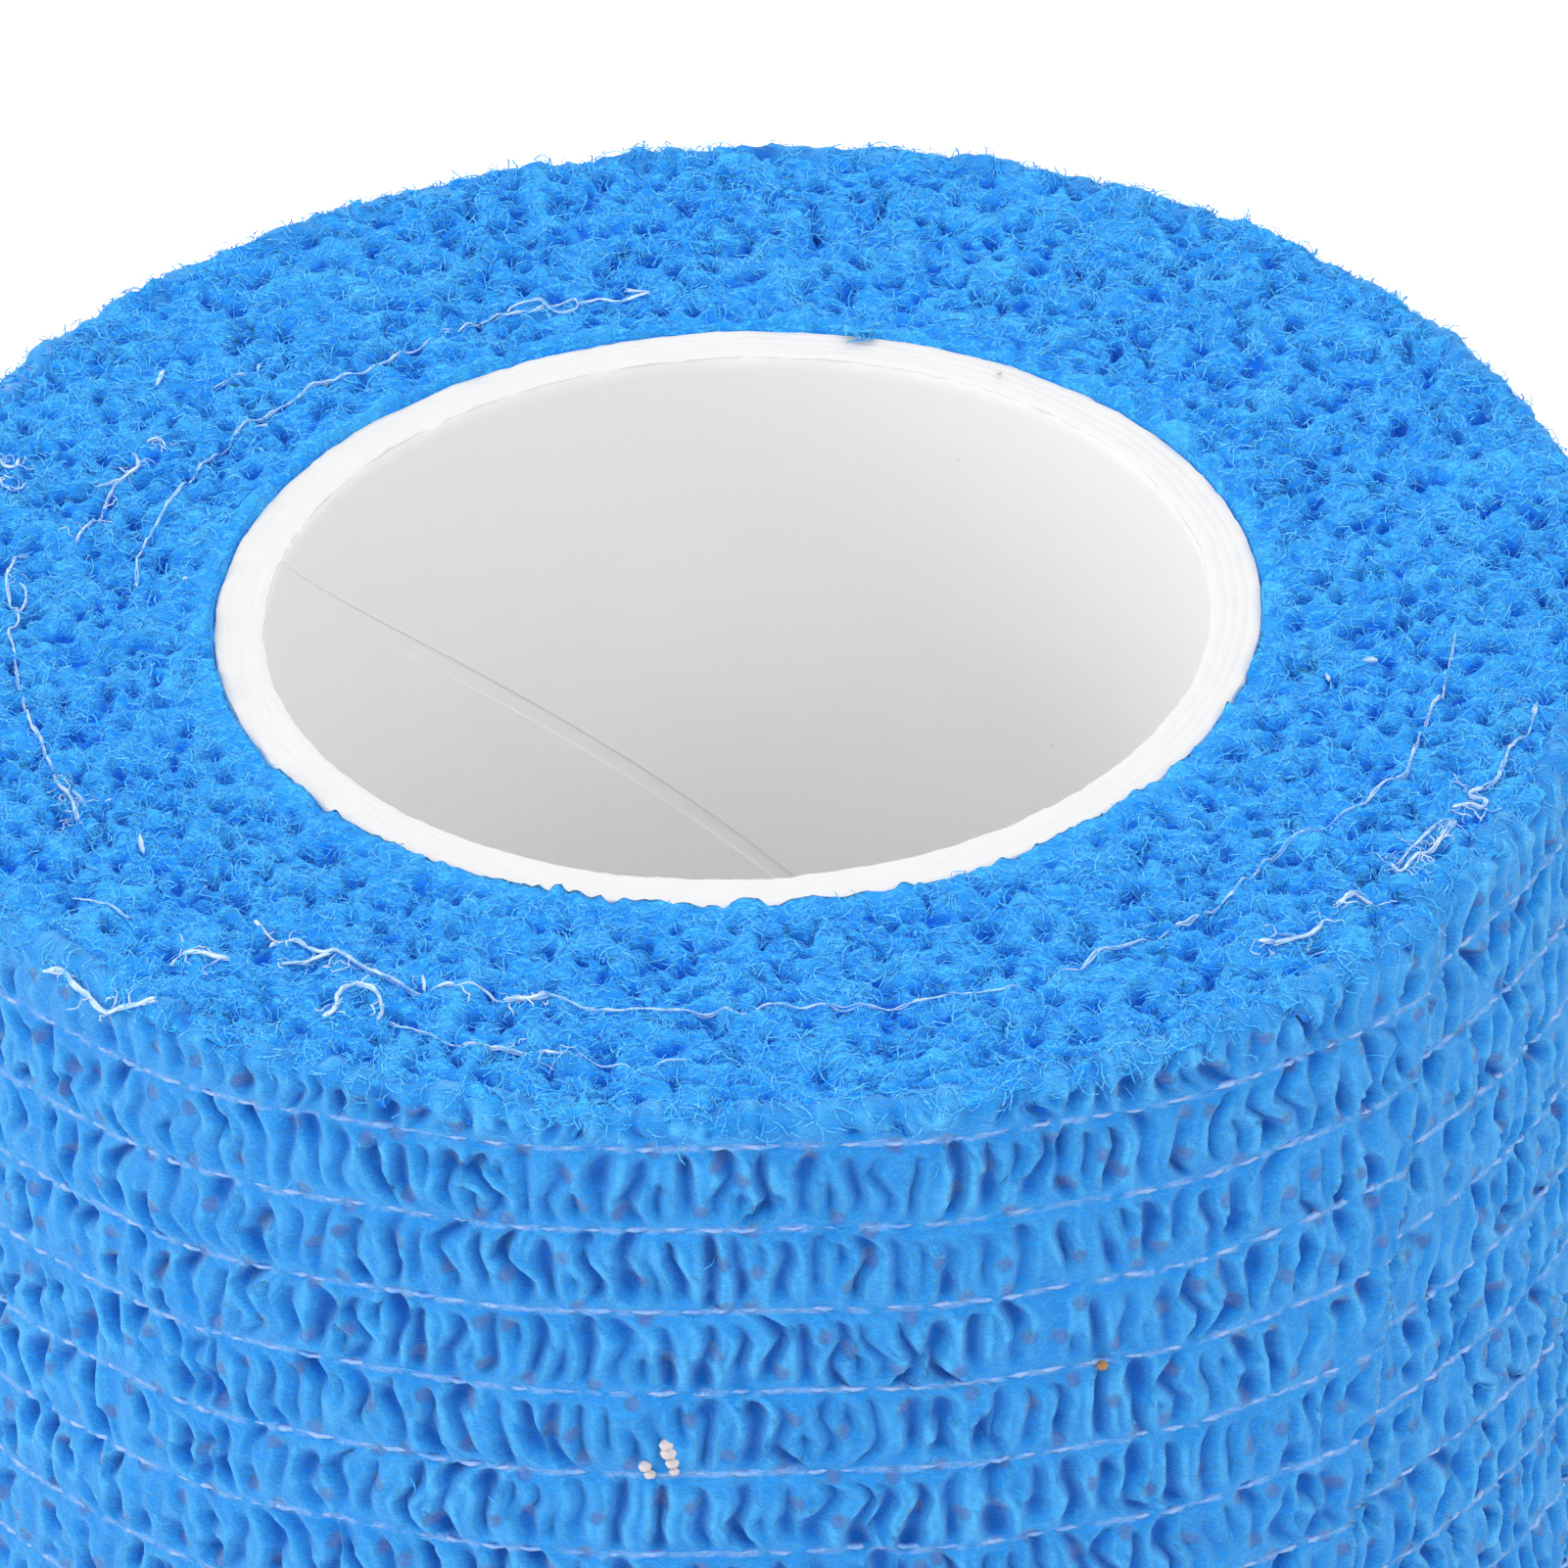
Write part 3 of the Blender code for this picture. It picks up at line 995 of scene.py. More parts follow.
    def sunk(self, lane: Array, away: Array, row: Array) -> tuple[Array, Array]:
        """How deep one fold's valley and pits are at a distance from its middle.

        Args:
            lane: the fold.
            away: distance to the right of its middle.
            row: the thread row.

        Returns:
            The depth, and how high the lip beside it stands.
        """
        reach = along(self.knots["reach"], lane, (row + 2) * self.knots_per_band)
        lane = lane % self.folds
        band = np.clip(np.floor(row + 2).astype(int), 0, self.form.thread_rows + 3)
        share = row + 2 - band
        read = {key: values[lane, band] for key, values in self.valleys.items()}
        window = ease((share - read["start"]) / 0.16) * ease((read["stop"] - share) / 0.16)
        valley = read["depth"] * window * (1 - 0.7 * self.on_flank(lane))
        sunk = valley * np.exp(-(np.abs(away / reach) ** 2.2))
        lip = valley * bump(np.abs(away) - reach - self.lip_place, self.lip_reach)
        for pits in self.pits:
            read = {key: values[lane, band] for key, values in pits.items()}
            up = (share - read["centre"]) / read["length"]
            side = (away - read["lean"] * up) / read["reach"]
            far = np.hypot(up, side)
            sunk = np.maximum(sunk, read["depth"] * np.exp(-(far**2.6)))
            lip = np.maximum(lip, 0.7 * read["depth"] * bump(far - 1.75, 0.45))
        return sunk, self.lip * lip

    def between(self, fold: Array, phase: Array, width: Array, row: Array) -> tuple[Array, Array]:
        """The extra valley half-way between two folds that have drifted apart.

        Args:
            fold: the fold on the left.
            phase: how far across from it a place lies.
            width: how far apart the two folds are.
            row: the thread row.

        Returns:
            Its depth, and how high its lips stand.
        """
        share = row - np.floor(row)
        low, high = self.gap_width
        valley = self.gap_valley * ease((width - low) / (high - low)) * (1 - 0.7 * self.on_flank(fold))
        valley = valley * ease((share - 0.06) / 0.18) * ease((0.94 - share) / 0.18)
        away = np.abs(phase - 0.5) * width
        lip = valley * bump(away - self.gap_reach - self.lip_place, self.lip_reach)
        return valley * np.exp(-((away / self.gap_reach) ** 2.2)), self.lip * lip

    def relief(self, fold: Array, phase: Array, row: Array) -> tuple[Array, Array, Array]:
        """The crinkle at places on the cloth.

        Args:
            fold: the number of the fold on whose left a place lies.
            phase: how far across that fold it lies.
            row: its thread row.

        Returns:
            The way along the turn, the rise over the mean face, and how deep in a fold it is, below 0 on
            crests: the share of painted shade, and of painted highlight on crests.
        """
        spot = (row + 2) * self.knots_per_band
        shift = [
            along(self.knots["shift"], lane, spot) + self.slipped(lane, row) for lane in (fold, fold + 1)
        ]
        width = np.maximum(1.0 + shift[1] - shift[0], 0.3)
        off_thread = (row - np.round(row)) * self.form.pitch
        near, near_lip = self.sunk(fold, phase * width, row)
        far, far_lip = self.sunk(fold + 1, (phase - 1) * width, row)
        between, between_lip = self.between(fold, phase, width, row)
        sunk = np.maximum(np.maximum(near, far), between) * (1 - 0.6 * bump(off_thread, 0.22))
        crest = np.maximum(np.maximum(near_lip, far_lip), between_lip)
        for side, middle in (("left", self.crest_place), ("right", 1 - self.crest_place)):
            rim = along(self.knots[side], fold, spot) * bump(phase - middle, self.crest_reach)
            crest = np.maximum(crest, rim)
        crest = crest * (1 - 0.5 * bump(off_thread, 0.3)) * (1 - ease(sunk / 0.25))
        on_row = (row > -0.5) & (row < self.form.thread_rows - 0.5)
        dip = self.thread_dip * bump(off_thread, 0.20) * on_row
        pillow = self.pillow * (np.abs(np.sin(np.pi * row)) - 1)
        way = (fold + phase) + shift[0] * (1 - phase) + shift[1] * phase
        rise = crest - 0.10 + pillow - dip - sunk
        # the last value: painted shade share in valleys and pits, minus painted highlight share on crests
        return way, rise, np.clip((sunk - 0.05) / 0.42, 0, 1) - np.clip(crest / 0.17 - 0.2, 0, 1)

    def sheet(self) -> Sheet:
        """The whole turned grid."""
        form = self.form
        fold = np.repeat(np.arange(self.folds), len(self.phases))[:, None]
        phase = np.tile(np.array(self.phases), self.folds)[:, None]
        inset, depth, up, share = (values[None, :] for values in self.rows())
        rough_bearing = (fold + phase) / self.folds * 360 - 180
        depth = depth + share * form.drift(rough_bearing)
        row = form.thread_row(rough_bearing, depth)
        way, rise, hollow_shade = self.relief(fold, phase, row)
        bearing = way / self.folds * 360 - 180
        back_mm = np.radians(form.back_from_tail(bearing, depth)) * form.radius
        patch = 0.30 + 0.45 * bump(depth - self.patch_depth, 2.2)
        calm = 1 - patch * bump(back_mm, self.calm_reach)
        calm = calm * (0.35 + 0.65 * ease((np.minimum(depth, form.width - depth) - 0.25) / 0.65))
        noise = Mottle(self.seed + 1)
        around = way * 2 * np.pi * form.radius / self.folds
        here = place(form.radius - inset, bearing, form.width - depth)
        grain = 0.040 * noise.at(here, 0.55) + 0.025 * noise.at(here + 9, 0.27)
        edge = np.abs(up)
        lumps = edge * (0.30 * noise.at(here + 17, 1.4) + 0.20 * noise.at(here + 5, 0.6))
        lumps = lumps * (1 - ease((inset - 0.8) / 0.6))
        zone = 0.8 * (1 - ease((depth - 0.3) / 1.5))
        felt = noise.at(here + 31, 0.5) + 0.6 * noise.at(here + 3, 0.95)
        rise = rise * calm * (1 - 0.35 * edge) + grain + lumps - 0.22 * zone * np.clip(felt - 0.2, 0, 1)
        radius = form.outer(bearing, depth) - inset + rise * (1 - edge)
        height = form.width - depth + rise * up
        points = place(radius, bearing, np.maximum(height, 0.0))
        cloth = np.stack(np.broadcast_arrays(around, row), -1)
        # painted shade where the rim's felt noise sinks the face, lighter where that noise is low
        hollow_shade = hollow_shade * calm + zone * np.clip(0.9 * felt - 0.1, -0.6, 0.9)
        fuzz = np.maximum(self.side_fuzz, self.rim_fuzz * zone) * np.clip(1 - hollow_shade, 0, 1)
        return Sheet(points, cloth, hollow_shade, fuzz, 2 * np.pi * form.radius)

    def build(self, finish: bpy.types.Material) -> list[bpy.types.Object]:
        """Makes the pieces and settles them on the roll."""
        return self.sheet().cut("outer_turn", self.sectors, finish)


# ---------------------------------------------------------------- the wound end faces


class End(Enum):
    """Which end of the roll a face is."""

    TOP = "top"
    FOOT = "foot"


@dataclass
class Pitting:
    """Uneven pits on a jittered lattice that runs round an end face."""

    inner: float
    step: float = 0.84
    gap: float = 1.22
    rings: int = 24
    seed: int = 5
    depth: tuple[float, float] = (0.35, 1.00)
    long: tuple[float, float] = (0.20, 0.48)
    wide: tuple[float, float] = (0.13, 0.29)
    missing: float = 0.18
    table: dict[str, Array] = field(default_factory=dict)

    def __post_init__(self) -> None:
        """Draws each cell's pit."""
        draw = np.random.default_rng(self.seed)
        size = (self.rings, 256)
        turned = np.where(draw.random(size) < 0.25, draw.uniform(-1.5, 1.5, size), 0)
        self.table = {
            "out": draw.uniform(-0.42, 0.42, size) * self.step,
            "on": draw.uniform(-0.42, 0.42, size),
            "long": draw.uniform(*self.long, size),
            "wide": draw.uniform(*self.wide, size),
            "angle": draw.normal(size=size) * 0.45 + turned,
            "bow": draw.normal(size=size) * 1.5,
            "depth": draw.uniform(*self.depth, size) * (draw.random(size) > self.missing),
        }

    def at(self, radius: Array, bearing: Array) -> tuple[Array, Array]:
        """The pits' depth, and how far down its own pit each place is."""
        share = (bearing + 180) / 360
        ring = np.floor((radius - self.inner) / self.step).astype(int)
        deepest, inside = np.zeros(radius.shape), np.zeros(radius.shape)
        for next_ring in (-1, 0, 1):
            lane = ring + next_ring
            middle = self.inner + (lane + 0.5) * self.step
            count = np.maximum(np.round(2 * np.pi * middle / self.gap), 1).astype(int)
            cell = np.floor(share * count).astype(int)
            for next_cell in (-1, 0, 1):
                spot = (lane % self.rings, (cell + next_cell) % count % 256)
                pit = {key: values[spot] for key, values in self.table.items()}
                on = (share - (cell + next_cell + 0.5 + pit["on"]) / count) * 2 * np.pi * radius
                out = radius - middle - pit["out"]
                cos, sin = np.cos(pit["angle"]), np.sin(pit["angle"])
                u = on * cos + out * sin
                v = out * cos - on * sin - pit["bow"] * u**2
                within = np.exp(-(((u / pit["long"]) ** 2 + (v / pit["wide"]) ** 2) ** 1.25))
                deeper = pit["depth"] * within > deepest
                deepest = np.where(deeper, pit["depth"] * within, deepest)
                inside = np.where(deeper, within * np.clip(pit["depth"] / 0.4, 0, 1), inside)
        return deepest, inside


@dataclass
class EndFace:
    """The wound turns' edges at one end: felted and lumpy, with pits where the folds part."""

    form: WoundForm
    end: End
    columns: int = 1000
    rings: int = 92
    sectors: int = 2
    seed: int = 23
    fold_pitch: float = 1.34
    wave: float = 0.26
    ridge: float = 0.24
    furrow: float = 0.22
    lump: float = 0.18
    inner: float = 16.45
    skirt: tuple[float, float] = (16.50, 16.72)
    skirt_drop: float = 0.8
    bare: float = 0.8  # how far from the tube the fuzz grows in
    turns_sampled: int = 720
    dish: tuple[tuple[float, float], ...] = (
        # inset from the outside, depth
        (0.0, 0.10),
        (3.0, 0.0),
        (6.2, 0.05),
        (8.8, 0.12),
        (10.4, 0.12),
        (12.0, 0.02),
    )
    course: dict[str, Array] = field(default_factory=dict)

    def __post_init__(self) -> None:
        """Draws the wound edge's course from the first turn to the last."""
        draw = np.random.default_rng(self.seed)
        turns = int((self.form.radius - self.form.bore) / self.form.layer) + 3
        count = turns * self.turns_sampled
        turn = np.arange(count) / self.turns_sampled - 1
        centre = self.form.bore + self.form.layer * turn
        step = 2 * np.pi * centre / self.turns_sampled
        pitch = self.fold_pitch * (1 + 0.45 * wander(draw, count, 9))
        self.course = {
            "turn": turn,
            "centre": centre + 0.12 * wander(draw, count, 22),
            "phase": np.cumsum(2 * np.pi * step / pitch) + 2.0 * wander(draw, count, 7),
            "wave": self.wave * (0.7 + 0.7 * wander(draw, count, 6)),
            "ridge": self.ridge * (1 + 0.4 * wander(draw, count, 5)),
            "lift": 0.10 * wander(draw, count, 8) + 0.06 * wander(draw, count, 3),
        }

    def relief(self, radius: Array, bearing: Array) -> tuple[Array, Array]:
        """How far places on the face lie under its crests, and how deep in a pit they are.

        Args:
            radius: distance from the axis.
            bearing: degrees from the front.

        Returns:
            The depth, and the share of painted shade in furrows and pits, below 0 where lumps stand for a
            painted highlight.
        """
        form, course = self.form, self.course
        round_share = (bearing + 180) / 360
        nearest = np.round((radius - form.bore) / form.layer - round_share)
        best = np.full(radius.shape, 0.0)
        lift = np.zeros(radius.shape)
        for offset in (-1, 0, 1):
            turn = nearest + offset + round_share
            read = {key: np.interp(turn, course["turn"], values) for key, values in course.items()}
            slope = read["wave"] * 2 * np.pi / self.fold_pitch * np.cos(read["phase"])
            away = radius - read["centre"] - read["wave"] * np.sin(read["phase"])
            near = bump(away / np.sqrt(1 + slope**2), read["ridge"])
            lift = np.where(near > best, read["lift"], lift)
            best = np.maximum(best, near)
        noise = Mottle(self.seed + 5)
        here = place(radius, bearing, np.zeros(radius.shape))
        lumps = noise.at(here, 0.85) + 0.5 * noise.at(here + 5, 0.38)
        broad_creases = 0.8 * (0.4 - np.abs(noise.at(here + 21, 0.62)))
        fine_creases = 0.5 * (0.4 - np.abs(noise.at(here + 9, 0.33)))
        lumps += broad_creases + fine_creases
        furrow = (1 - best) * (0.7 + 0.6 * noise.at(here + 13, 1.3))
        bent = 0.16 * noise.at(here + 17, 0.45)
        pits, inside = Pitting(self.inner, seed=self.seed + 9).at(radius + bent, bearing + 0.4 * bent)
        held = ease((radius - form.bore - 0.2) / 0.9)
        pits, inside = pits * held, inside * held
        depth = self.furrow * furrow + pits - (lift * best + self.lump * lumps) * (1 - 0.7 * inside)
        # painted shade in furrows and pits, painted highlight on raised lumps
        return depth, np.clip(0.35 * furrow + inside, 0, 1) - np.clip(0.5 * lumps, 0, 0.6)

    def dished(self, radius: Array, outside: Array) -> Array:
        """The slow depth of the face: lowest by the tube, and rounded over at the outside."""
        inset, depth = np.array(self.dish).T
        from_outside = outside - radius
        over = np.clip(1 - from_outside, 0, 0.95)
        tucked = 1 - ease((radius - self.skirt[0]) / (self.skirt[1] - self.skirt[0]))
        return np.interp(from_outside, inset, depth) + 1 - np.sqrt(1 - over**2) + self.skirt_drop * tucked

    def sheet(self) -> Sheet:
        """The whole ring-shaped grid."""
        form = self.form
        bearing = (np.arange(self.columns) / self.columns * 360 - 180)[:, None]
        share = np.linspace(0, 1, self.rings)[None, :]
        outside = form.outer(bearing, 0.0 if self.end is End.TOP else form.width)
        limit = outside - 0.25
        radius = self.inner + (limit - self.inner) * share
        bearing = np.broadcast_to(bearing, radius.shape)
        depth, hollow_shade = self.relief(radius, bearing)
        depth = depth + self.dished(radius, outside)
        if self.end is End.TOP:
            height = form.width - depth
        else:
            height = np.maximum(depth - 0.12, 0.0)
        points = place(radius, bearing, height)
        cloth = np.stack([bearing / 2, radius], -1)
        fuzz = np.clip(1 - hollow_shade, 0, 1) * ease((radius - self.skirt[1]) / self.bare)
        return Sheet(points, cloth, hollow_shade, fuzz, 180.0, self.end is End.FOOT)

    def build(self, finish: bpy.types.Material) -> list[bpy.types.Object]:
        """Makes the pieces and settles them on the roll."""
        return self.sheet().cut(f"end_turns_{self.end.value}", self.sectors, finish)


# ---------------------------------------------------------------- threads


@dataclass
class ElasticRows:
    """The elastic threads round the outer turn, bridging its folds and partly sunk in them."""

    turn: OuterTurn
    strand: Recipe
    radius: float = 0.12
    steps: int = 740
    bury: float = 0.10
    arch: float = 0.11
    sway: float = 0.06
    seed: int = 31

    def line(self, row: int, draw: np.random.Generator) -> tuple[Array, Array]:
        """Lays one thread once round the roll.

        Args:
            row: which thread row it is.
            draw: the random source.

        Returns:
            Its points and its thickness at each.
        """
        form, turn = self.turn.form, self.turn
        spot = np.arange(self.steps + 1) / self.steps * turn.folds
        fold = np.floor(spot).astype(int) % turn.folds
        rows = np.full(len(spot), float(row))
        way, rise, _ = turn.relief(fold, spot - np.floor(spot), rows)
        slack = np.convolve(np.pad(rise, 6, mode="wrap"), np.ones(13) / 13, mode="valid")
        bearing = way / turn.folds * 360 - 180
        depth = form.thread_depth(bearing, rows) + 0.05 * wander(draw, len(spot), 10)
        lift = self.sway * (wander(draw, len(spot), 5) + 0.7 * wander(draw, len(spot), 13))
        lift += self.arch * np.cos(2 * np.pi * spot)
        radius = form.outer(bearing, depth) + slack - self.bury + lift
        thick = 1 + 0.25 * wander(draw, len(spot), 5)
        return place(radius, bearing, form.width - depth), thick

    def build(self, finish: bpy.types.Material) -> bpy.types.Object:
        """Makes one piece of all the threads."""
        draw = np.random.default_rng(self.seed)
        laid = [self.line(row, draw) for row in range(self.turn.form.thread_rows)]
        return sweep(self.strand, "elastic_threads", laid, self.radius, finish)


@dataclass(frozen=True)
class Sight:
    """Where the photograph was taken from, and what its pixels fall on.

    The angles were fitted to the ring's and the roll's edges. Pixels are those of the
    photograph's 1601 by 1601 frame.
    """

    tube_top: float
    distance: float = 664.0
    elevation: float = 33.324
    pan: float = -0.110
    tilt: float = -0.477
    roll: float = 2.154
    focal_px: float = 21403.0
    frame_px: float = 1601.0

    def axes(self) -> tuple[Vector, Vector, Vector, Vector]:
        """The camera's seat, and its ways right, up and ahead."""
        rise = math.radians(self.elevation)
        seat = Vector((0.0, -self.distance * math.cos(rise), self.distance * math.sin(rise)))
        ahead = -seat.normalized()
        right = Vector((1.0, 0.0, 0.0))
        up = right.cross(ahead)
        turn = Quaternion(up, math.radians(self.pan))
        ahead, right = turn @ ahead, turn @ right
        turn = Quaternion(right, math.radians(self.tilt))
        ahead, up = turn @ ahead, turn @ up
        turn = Quaternion(ahead, math.radians(self.roll))
        right, up = turn @ right, turn @ up
        return seat + Vector((0.0, 0.0, self.tube_top)), right, up, ahead

    def rays(self, pixels: Array) -> tuple[Array, Array]:
        """The camera's seat, and the way in which each pixel looks."""
        seat, right, up, ahead = (np.array(part) for part in self.axes())
        aside = (np.asarray(pixels, float) - self.frame_px / 2) / self.focal_px
        return seat, ahead + aside[:, :1] * right - aside[:, 1:] * up

    def on_level(self, pixels: Array, height: float) -> Array:
        """Where pixels fall on a level plane, as x and y."""
        seat, ways = self.rays(pixels)
        return (seat + ways * ((height - seat[2]) / ways[:, 2])[:, None])[:, :2]

    def on_wall(self, pixels: Array, radius: float) -> Array:
        """Where pixels first fall on an upright round wall about the axis, as points."""
        seat, ways = self.rays(pixels)
        steep = (ways[:, :2] ** 2).sum(1)
        toward = ways[:, :2] @ seat[:2]
        reach = -toward - np.sqrt(toward**2 - steep * (seat[:2] @ seat[:2] - radius**2))
        return seat + ways * (reach / steep)[:, None]


def bearing_of(flat: Array) -> Array:
    """The bearing in degrees from the front of points whose x and y come first."""
    return np.degrees(np.arctan2(flat[..., 0], -flat[..., 1]))


@dataclass(frozen=True)
class ThreadRun:
    """One loose stretch of thread on the top face, and the fine hairs that stand off it."""

    course: tuple[tuple[int, int], ...]  # pixels of the photograph where it turns
    thick: float = 1.0
    strands: int = 1
    fluff: int = 0
    faint: bool = False


# Each run follows one thread that the photograph shows on the end face
LOOSE_RUNS = {
    "inner_left": ThreadRun((
        (139, 598), (143, 558), (161, 532), (179, 508), (199, 479), (222, 454), (252, 432),
        (300, 406), (332, 391), (375, 372), (414, 353), (438, 344),
    ), 0.9, 2, faint=True),
    "hook": ThreadRun(((313, 386), (328, 385), (334, 390), (323, 395)), 0.8),
    "inner_twig": ThreadRun(((259, 436), (273, 433))),
    "inner_speck": ThreadRun(((450, 335), (460, 334)), faint=True),
    "back_loop": ThreadRun((
        (468, 334), (480, 324), (492, 322), (508, 320), (519, 322), (540, 318), (552, 313),
        (560, 307), (570, 302), (580, 300), (587, 302), (590, 308), (586, 312), (576, 314),
        (564, 313), (557, 309), (550, 306), (540, 307), (530, 310), (521, 315), (518, 320),
    ), 1.1),
    "back_wisp": ThreadRun((
        (590, 308), (602, 304), (612, 301), (628, 302), (646, 300), (663, 294), (650, 293), (638, 291),
    ), 1.2),
    "fork_stem": ThreadRun((
        (78, 553), (83, 545), (95, 533), (100, 523), (110, 505), (118, 494), (130, 485), (139, 478),
        (141, 470), (136, 463),
    ), 1.2, 2, 3),
    "fork_left": ThreadRun(((98, 497), (110, 495), (123, 489)), 1.2),
    "fork_right": ThreadRun(((123, 475), (130, 480), (139, 476)), 1.2),
    "fork_cap": ThreadRun(((150, 451), (159, 446), (165, 448), (169, 455)), 1.4, 1, 2),
    "dash_left": ThreadRun(((159, 398), (167, 387)), 1.8),
    "dash_back": ThreadRun(((263, 373), (266, 365)), 1.8),
    "thin_back": ThreadRun(((218, 394), (240, 383), (251, 381)), 0.6, faint=True),
    "edge_bow": ThreadRun(((0, 470), (5, 477), (16, 476), (18, 470)), 1.5, 1, 2),
    "edge_bend": ThreadRun(((0, 489), (3, 500), (11, 506)), 1.4, 1, 2),
    "left_upper": ThreadRun((
        (28, 570), (16, 571), (13, 579), (9, 590), (8, 603), (11, 616), (16, 621), (19, 633),
        (15, 640), (9, 646), (13, 655), (15, 668),
    ), 1.2, 1, 1),
    "left_branch": ThreadRun(((16, 620), (25, 614), (26, 606), (21, 603)), 1.3),
    "left_lower": ThreadRun((
        (15, 668), (18, 693), (25, 715), (31, 735), (43, 758), (48, 773),
    ), 1.0, 3, faint=True),
    "left_fluffy": ThreadRun((
        (48, 773), (56, 785), (59, 801), (69, 808), (75, 823), (80, 834),
    ), 1.3, 2, 5),
    "left_fork": ThreadRun(((73, 808), (86, 819), (95, 827)), 1.1, 1, 1),
    "left_oval": ThreadRun(((144, 855), (146, 870)), 2.2),
    "dot_low": ThreadRun(((206, 895), (212, 893)), 2.4),
    "dot_high": ThreadRun(((185, 586), (191, 588)), 1.8),
    "dot_pale": ThreadRun(((108, 815), (113, 815)), 1.6, faint=True),
    "short_left": ThreadRun(((185, 974), (200, 976), (220, 980), (234, 982)), 2.2, 1, 2),
    "front_left": ThreadRun((
        (260, 943), (269, 948), (295, 958), (323, 970), (343, 973), (354, 982), (380, 992),
        (396, 998), (417, 1003), (434, 1005), (466, 1011),
    ), 1.6, 2, 4),
    "front_branch": ThreadRun(((289, 984), (302, 981), (318, 977), (339, 973)), 1.5, 1, 1),
    "front_twig": ThreadRun(((431, 992), (433, 998), (432, 1005)), 1.4),
    "front_dot": ThreadRun(((276, 966), (282, 966)), 2.0),
    "front_gap": ThreadRun(((466, 1011), (484, 1010), (497, 1012), (513, 1023)), 0.9, faint=True),
    "front_knot": ThreadRun(((514, 1023), (536, 1020), (560, 1018)), 2.0, 2, 3),
    "front_faint": ThreadRun((
        (560, 1018), (591, 1027), (630, 1031), (661, 1034), (695, 1031), (729, 1032), (760, 1033),
        (810, 1031), (860, 1028), (893, 1027), (927, 1022), (967, 1015),
    ), 0.8, 2, faint=True),
    "front_far": ThreadRun(((967, 1015), (1013, 1012), (1060, 1000), (1103, 987)), 0.6, faint=True),
    "front_right": ThreadRun((
        (1103, 987), (1127, 972), (1160, 965), (1180, 950), (1203, 943), (1227, 930), (1260, 910),
    ), 0.9, 2, faint=True),
    "right_link": ThreadRun(((1260, 910), (1325, 855), (1395, 820)), 0.5, faint=True),
    "right_inner": ThreadRun((
        (1395, 820), (1413, 800), (1433, 790), (1441, 780), (1450, 745), (1455, 733), (1468, 715),
        (1475, 695), (1483, 665), (1486, 655),
    ), 0.9, 2, faint=True),
    "arch": ThreadRun((
        (331, 1040), (343, 1034), (344, 1023), (350, 1015), (362, 1012), (378, 1015), (388, 1023),
        (391, 1032), (386, 1045),
    ), 1.9, 1, 2),
    "arch_foot": ThreadRun(((396, 1042), (419, 1047), (474, 1068), (500, 1071)), 0.8, faint=True),
    "second_row": ThreadRun(((500, 1071), (545, 1073), (580, 1076)), 1.3, 2, 2),
    "second_far": ThreadRun(((590, 1077), (660, 1085), (700, 1086)), 0.8, faint=True),
    "rim": ThreadRun((
        (43, 973), (63, 980), (83, 995), (100, 1008), (118, 1014), (138, 1018), (160, 1020),
    ), 1.9, 2, 2),
    "rim_faint": ThreadRun(((75, 915), (100, 925), (133, 943)), 0.8, faint=True),
    "right_dot": ThreadRun(((1285, 962), (1301, 962)), 2.2, 1, 1),
    "right_low": ThreadRun(((1301, 963), (1333, 958), (1346, 951), (1350, 944), (1360, 941)), 1.5, 2, 3),
    "right_middle": ThreadRun(((1365, 931), (1385, 918), (1403, 918)), 1.6, 1, 2),
    "right_band": ThreadRun((
        (1420, 885), (1430, 893), (1445, 880), (1458, 870), (1475, 855), (1485, 845),
    ), 1.3, 3, 8),
    "right_band_top": ThreadRun(((1425, 883), (1450, 861), (1480, 838)), 1.0, 1, 2),
    "right_knot": ThreadRun((
        (1483, 825), (1500, 820), (1513, 823), (1516, 813), (1500, 810), (1515, 800),
    ), 1.5, 1, 4),
    "right_upper": ThreadRun((
        (1515, 800), (1528, 793), (1538, 775), (1545, 758), (1560, 743), (1570, 720),
    ), 1.0, 3, 2, faint=True),
    "right_oval": ThreadRun(((1391, 674), (1406, 674)), 2.6),
    "right_speck": ThreadRun(((1353, 680), (1357, 684)), 2.2),
}
RING_FLUFF = ThreadRun(((862, 337), (876, 340), (893, 339)), 2.4, 6, 4)


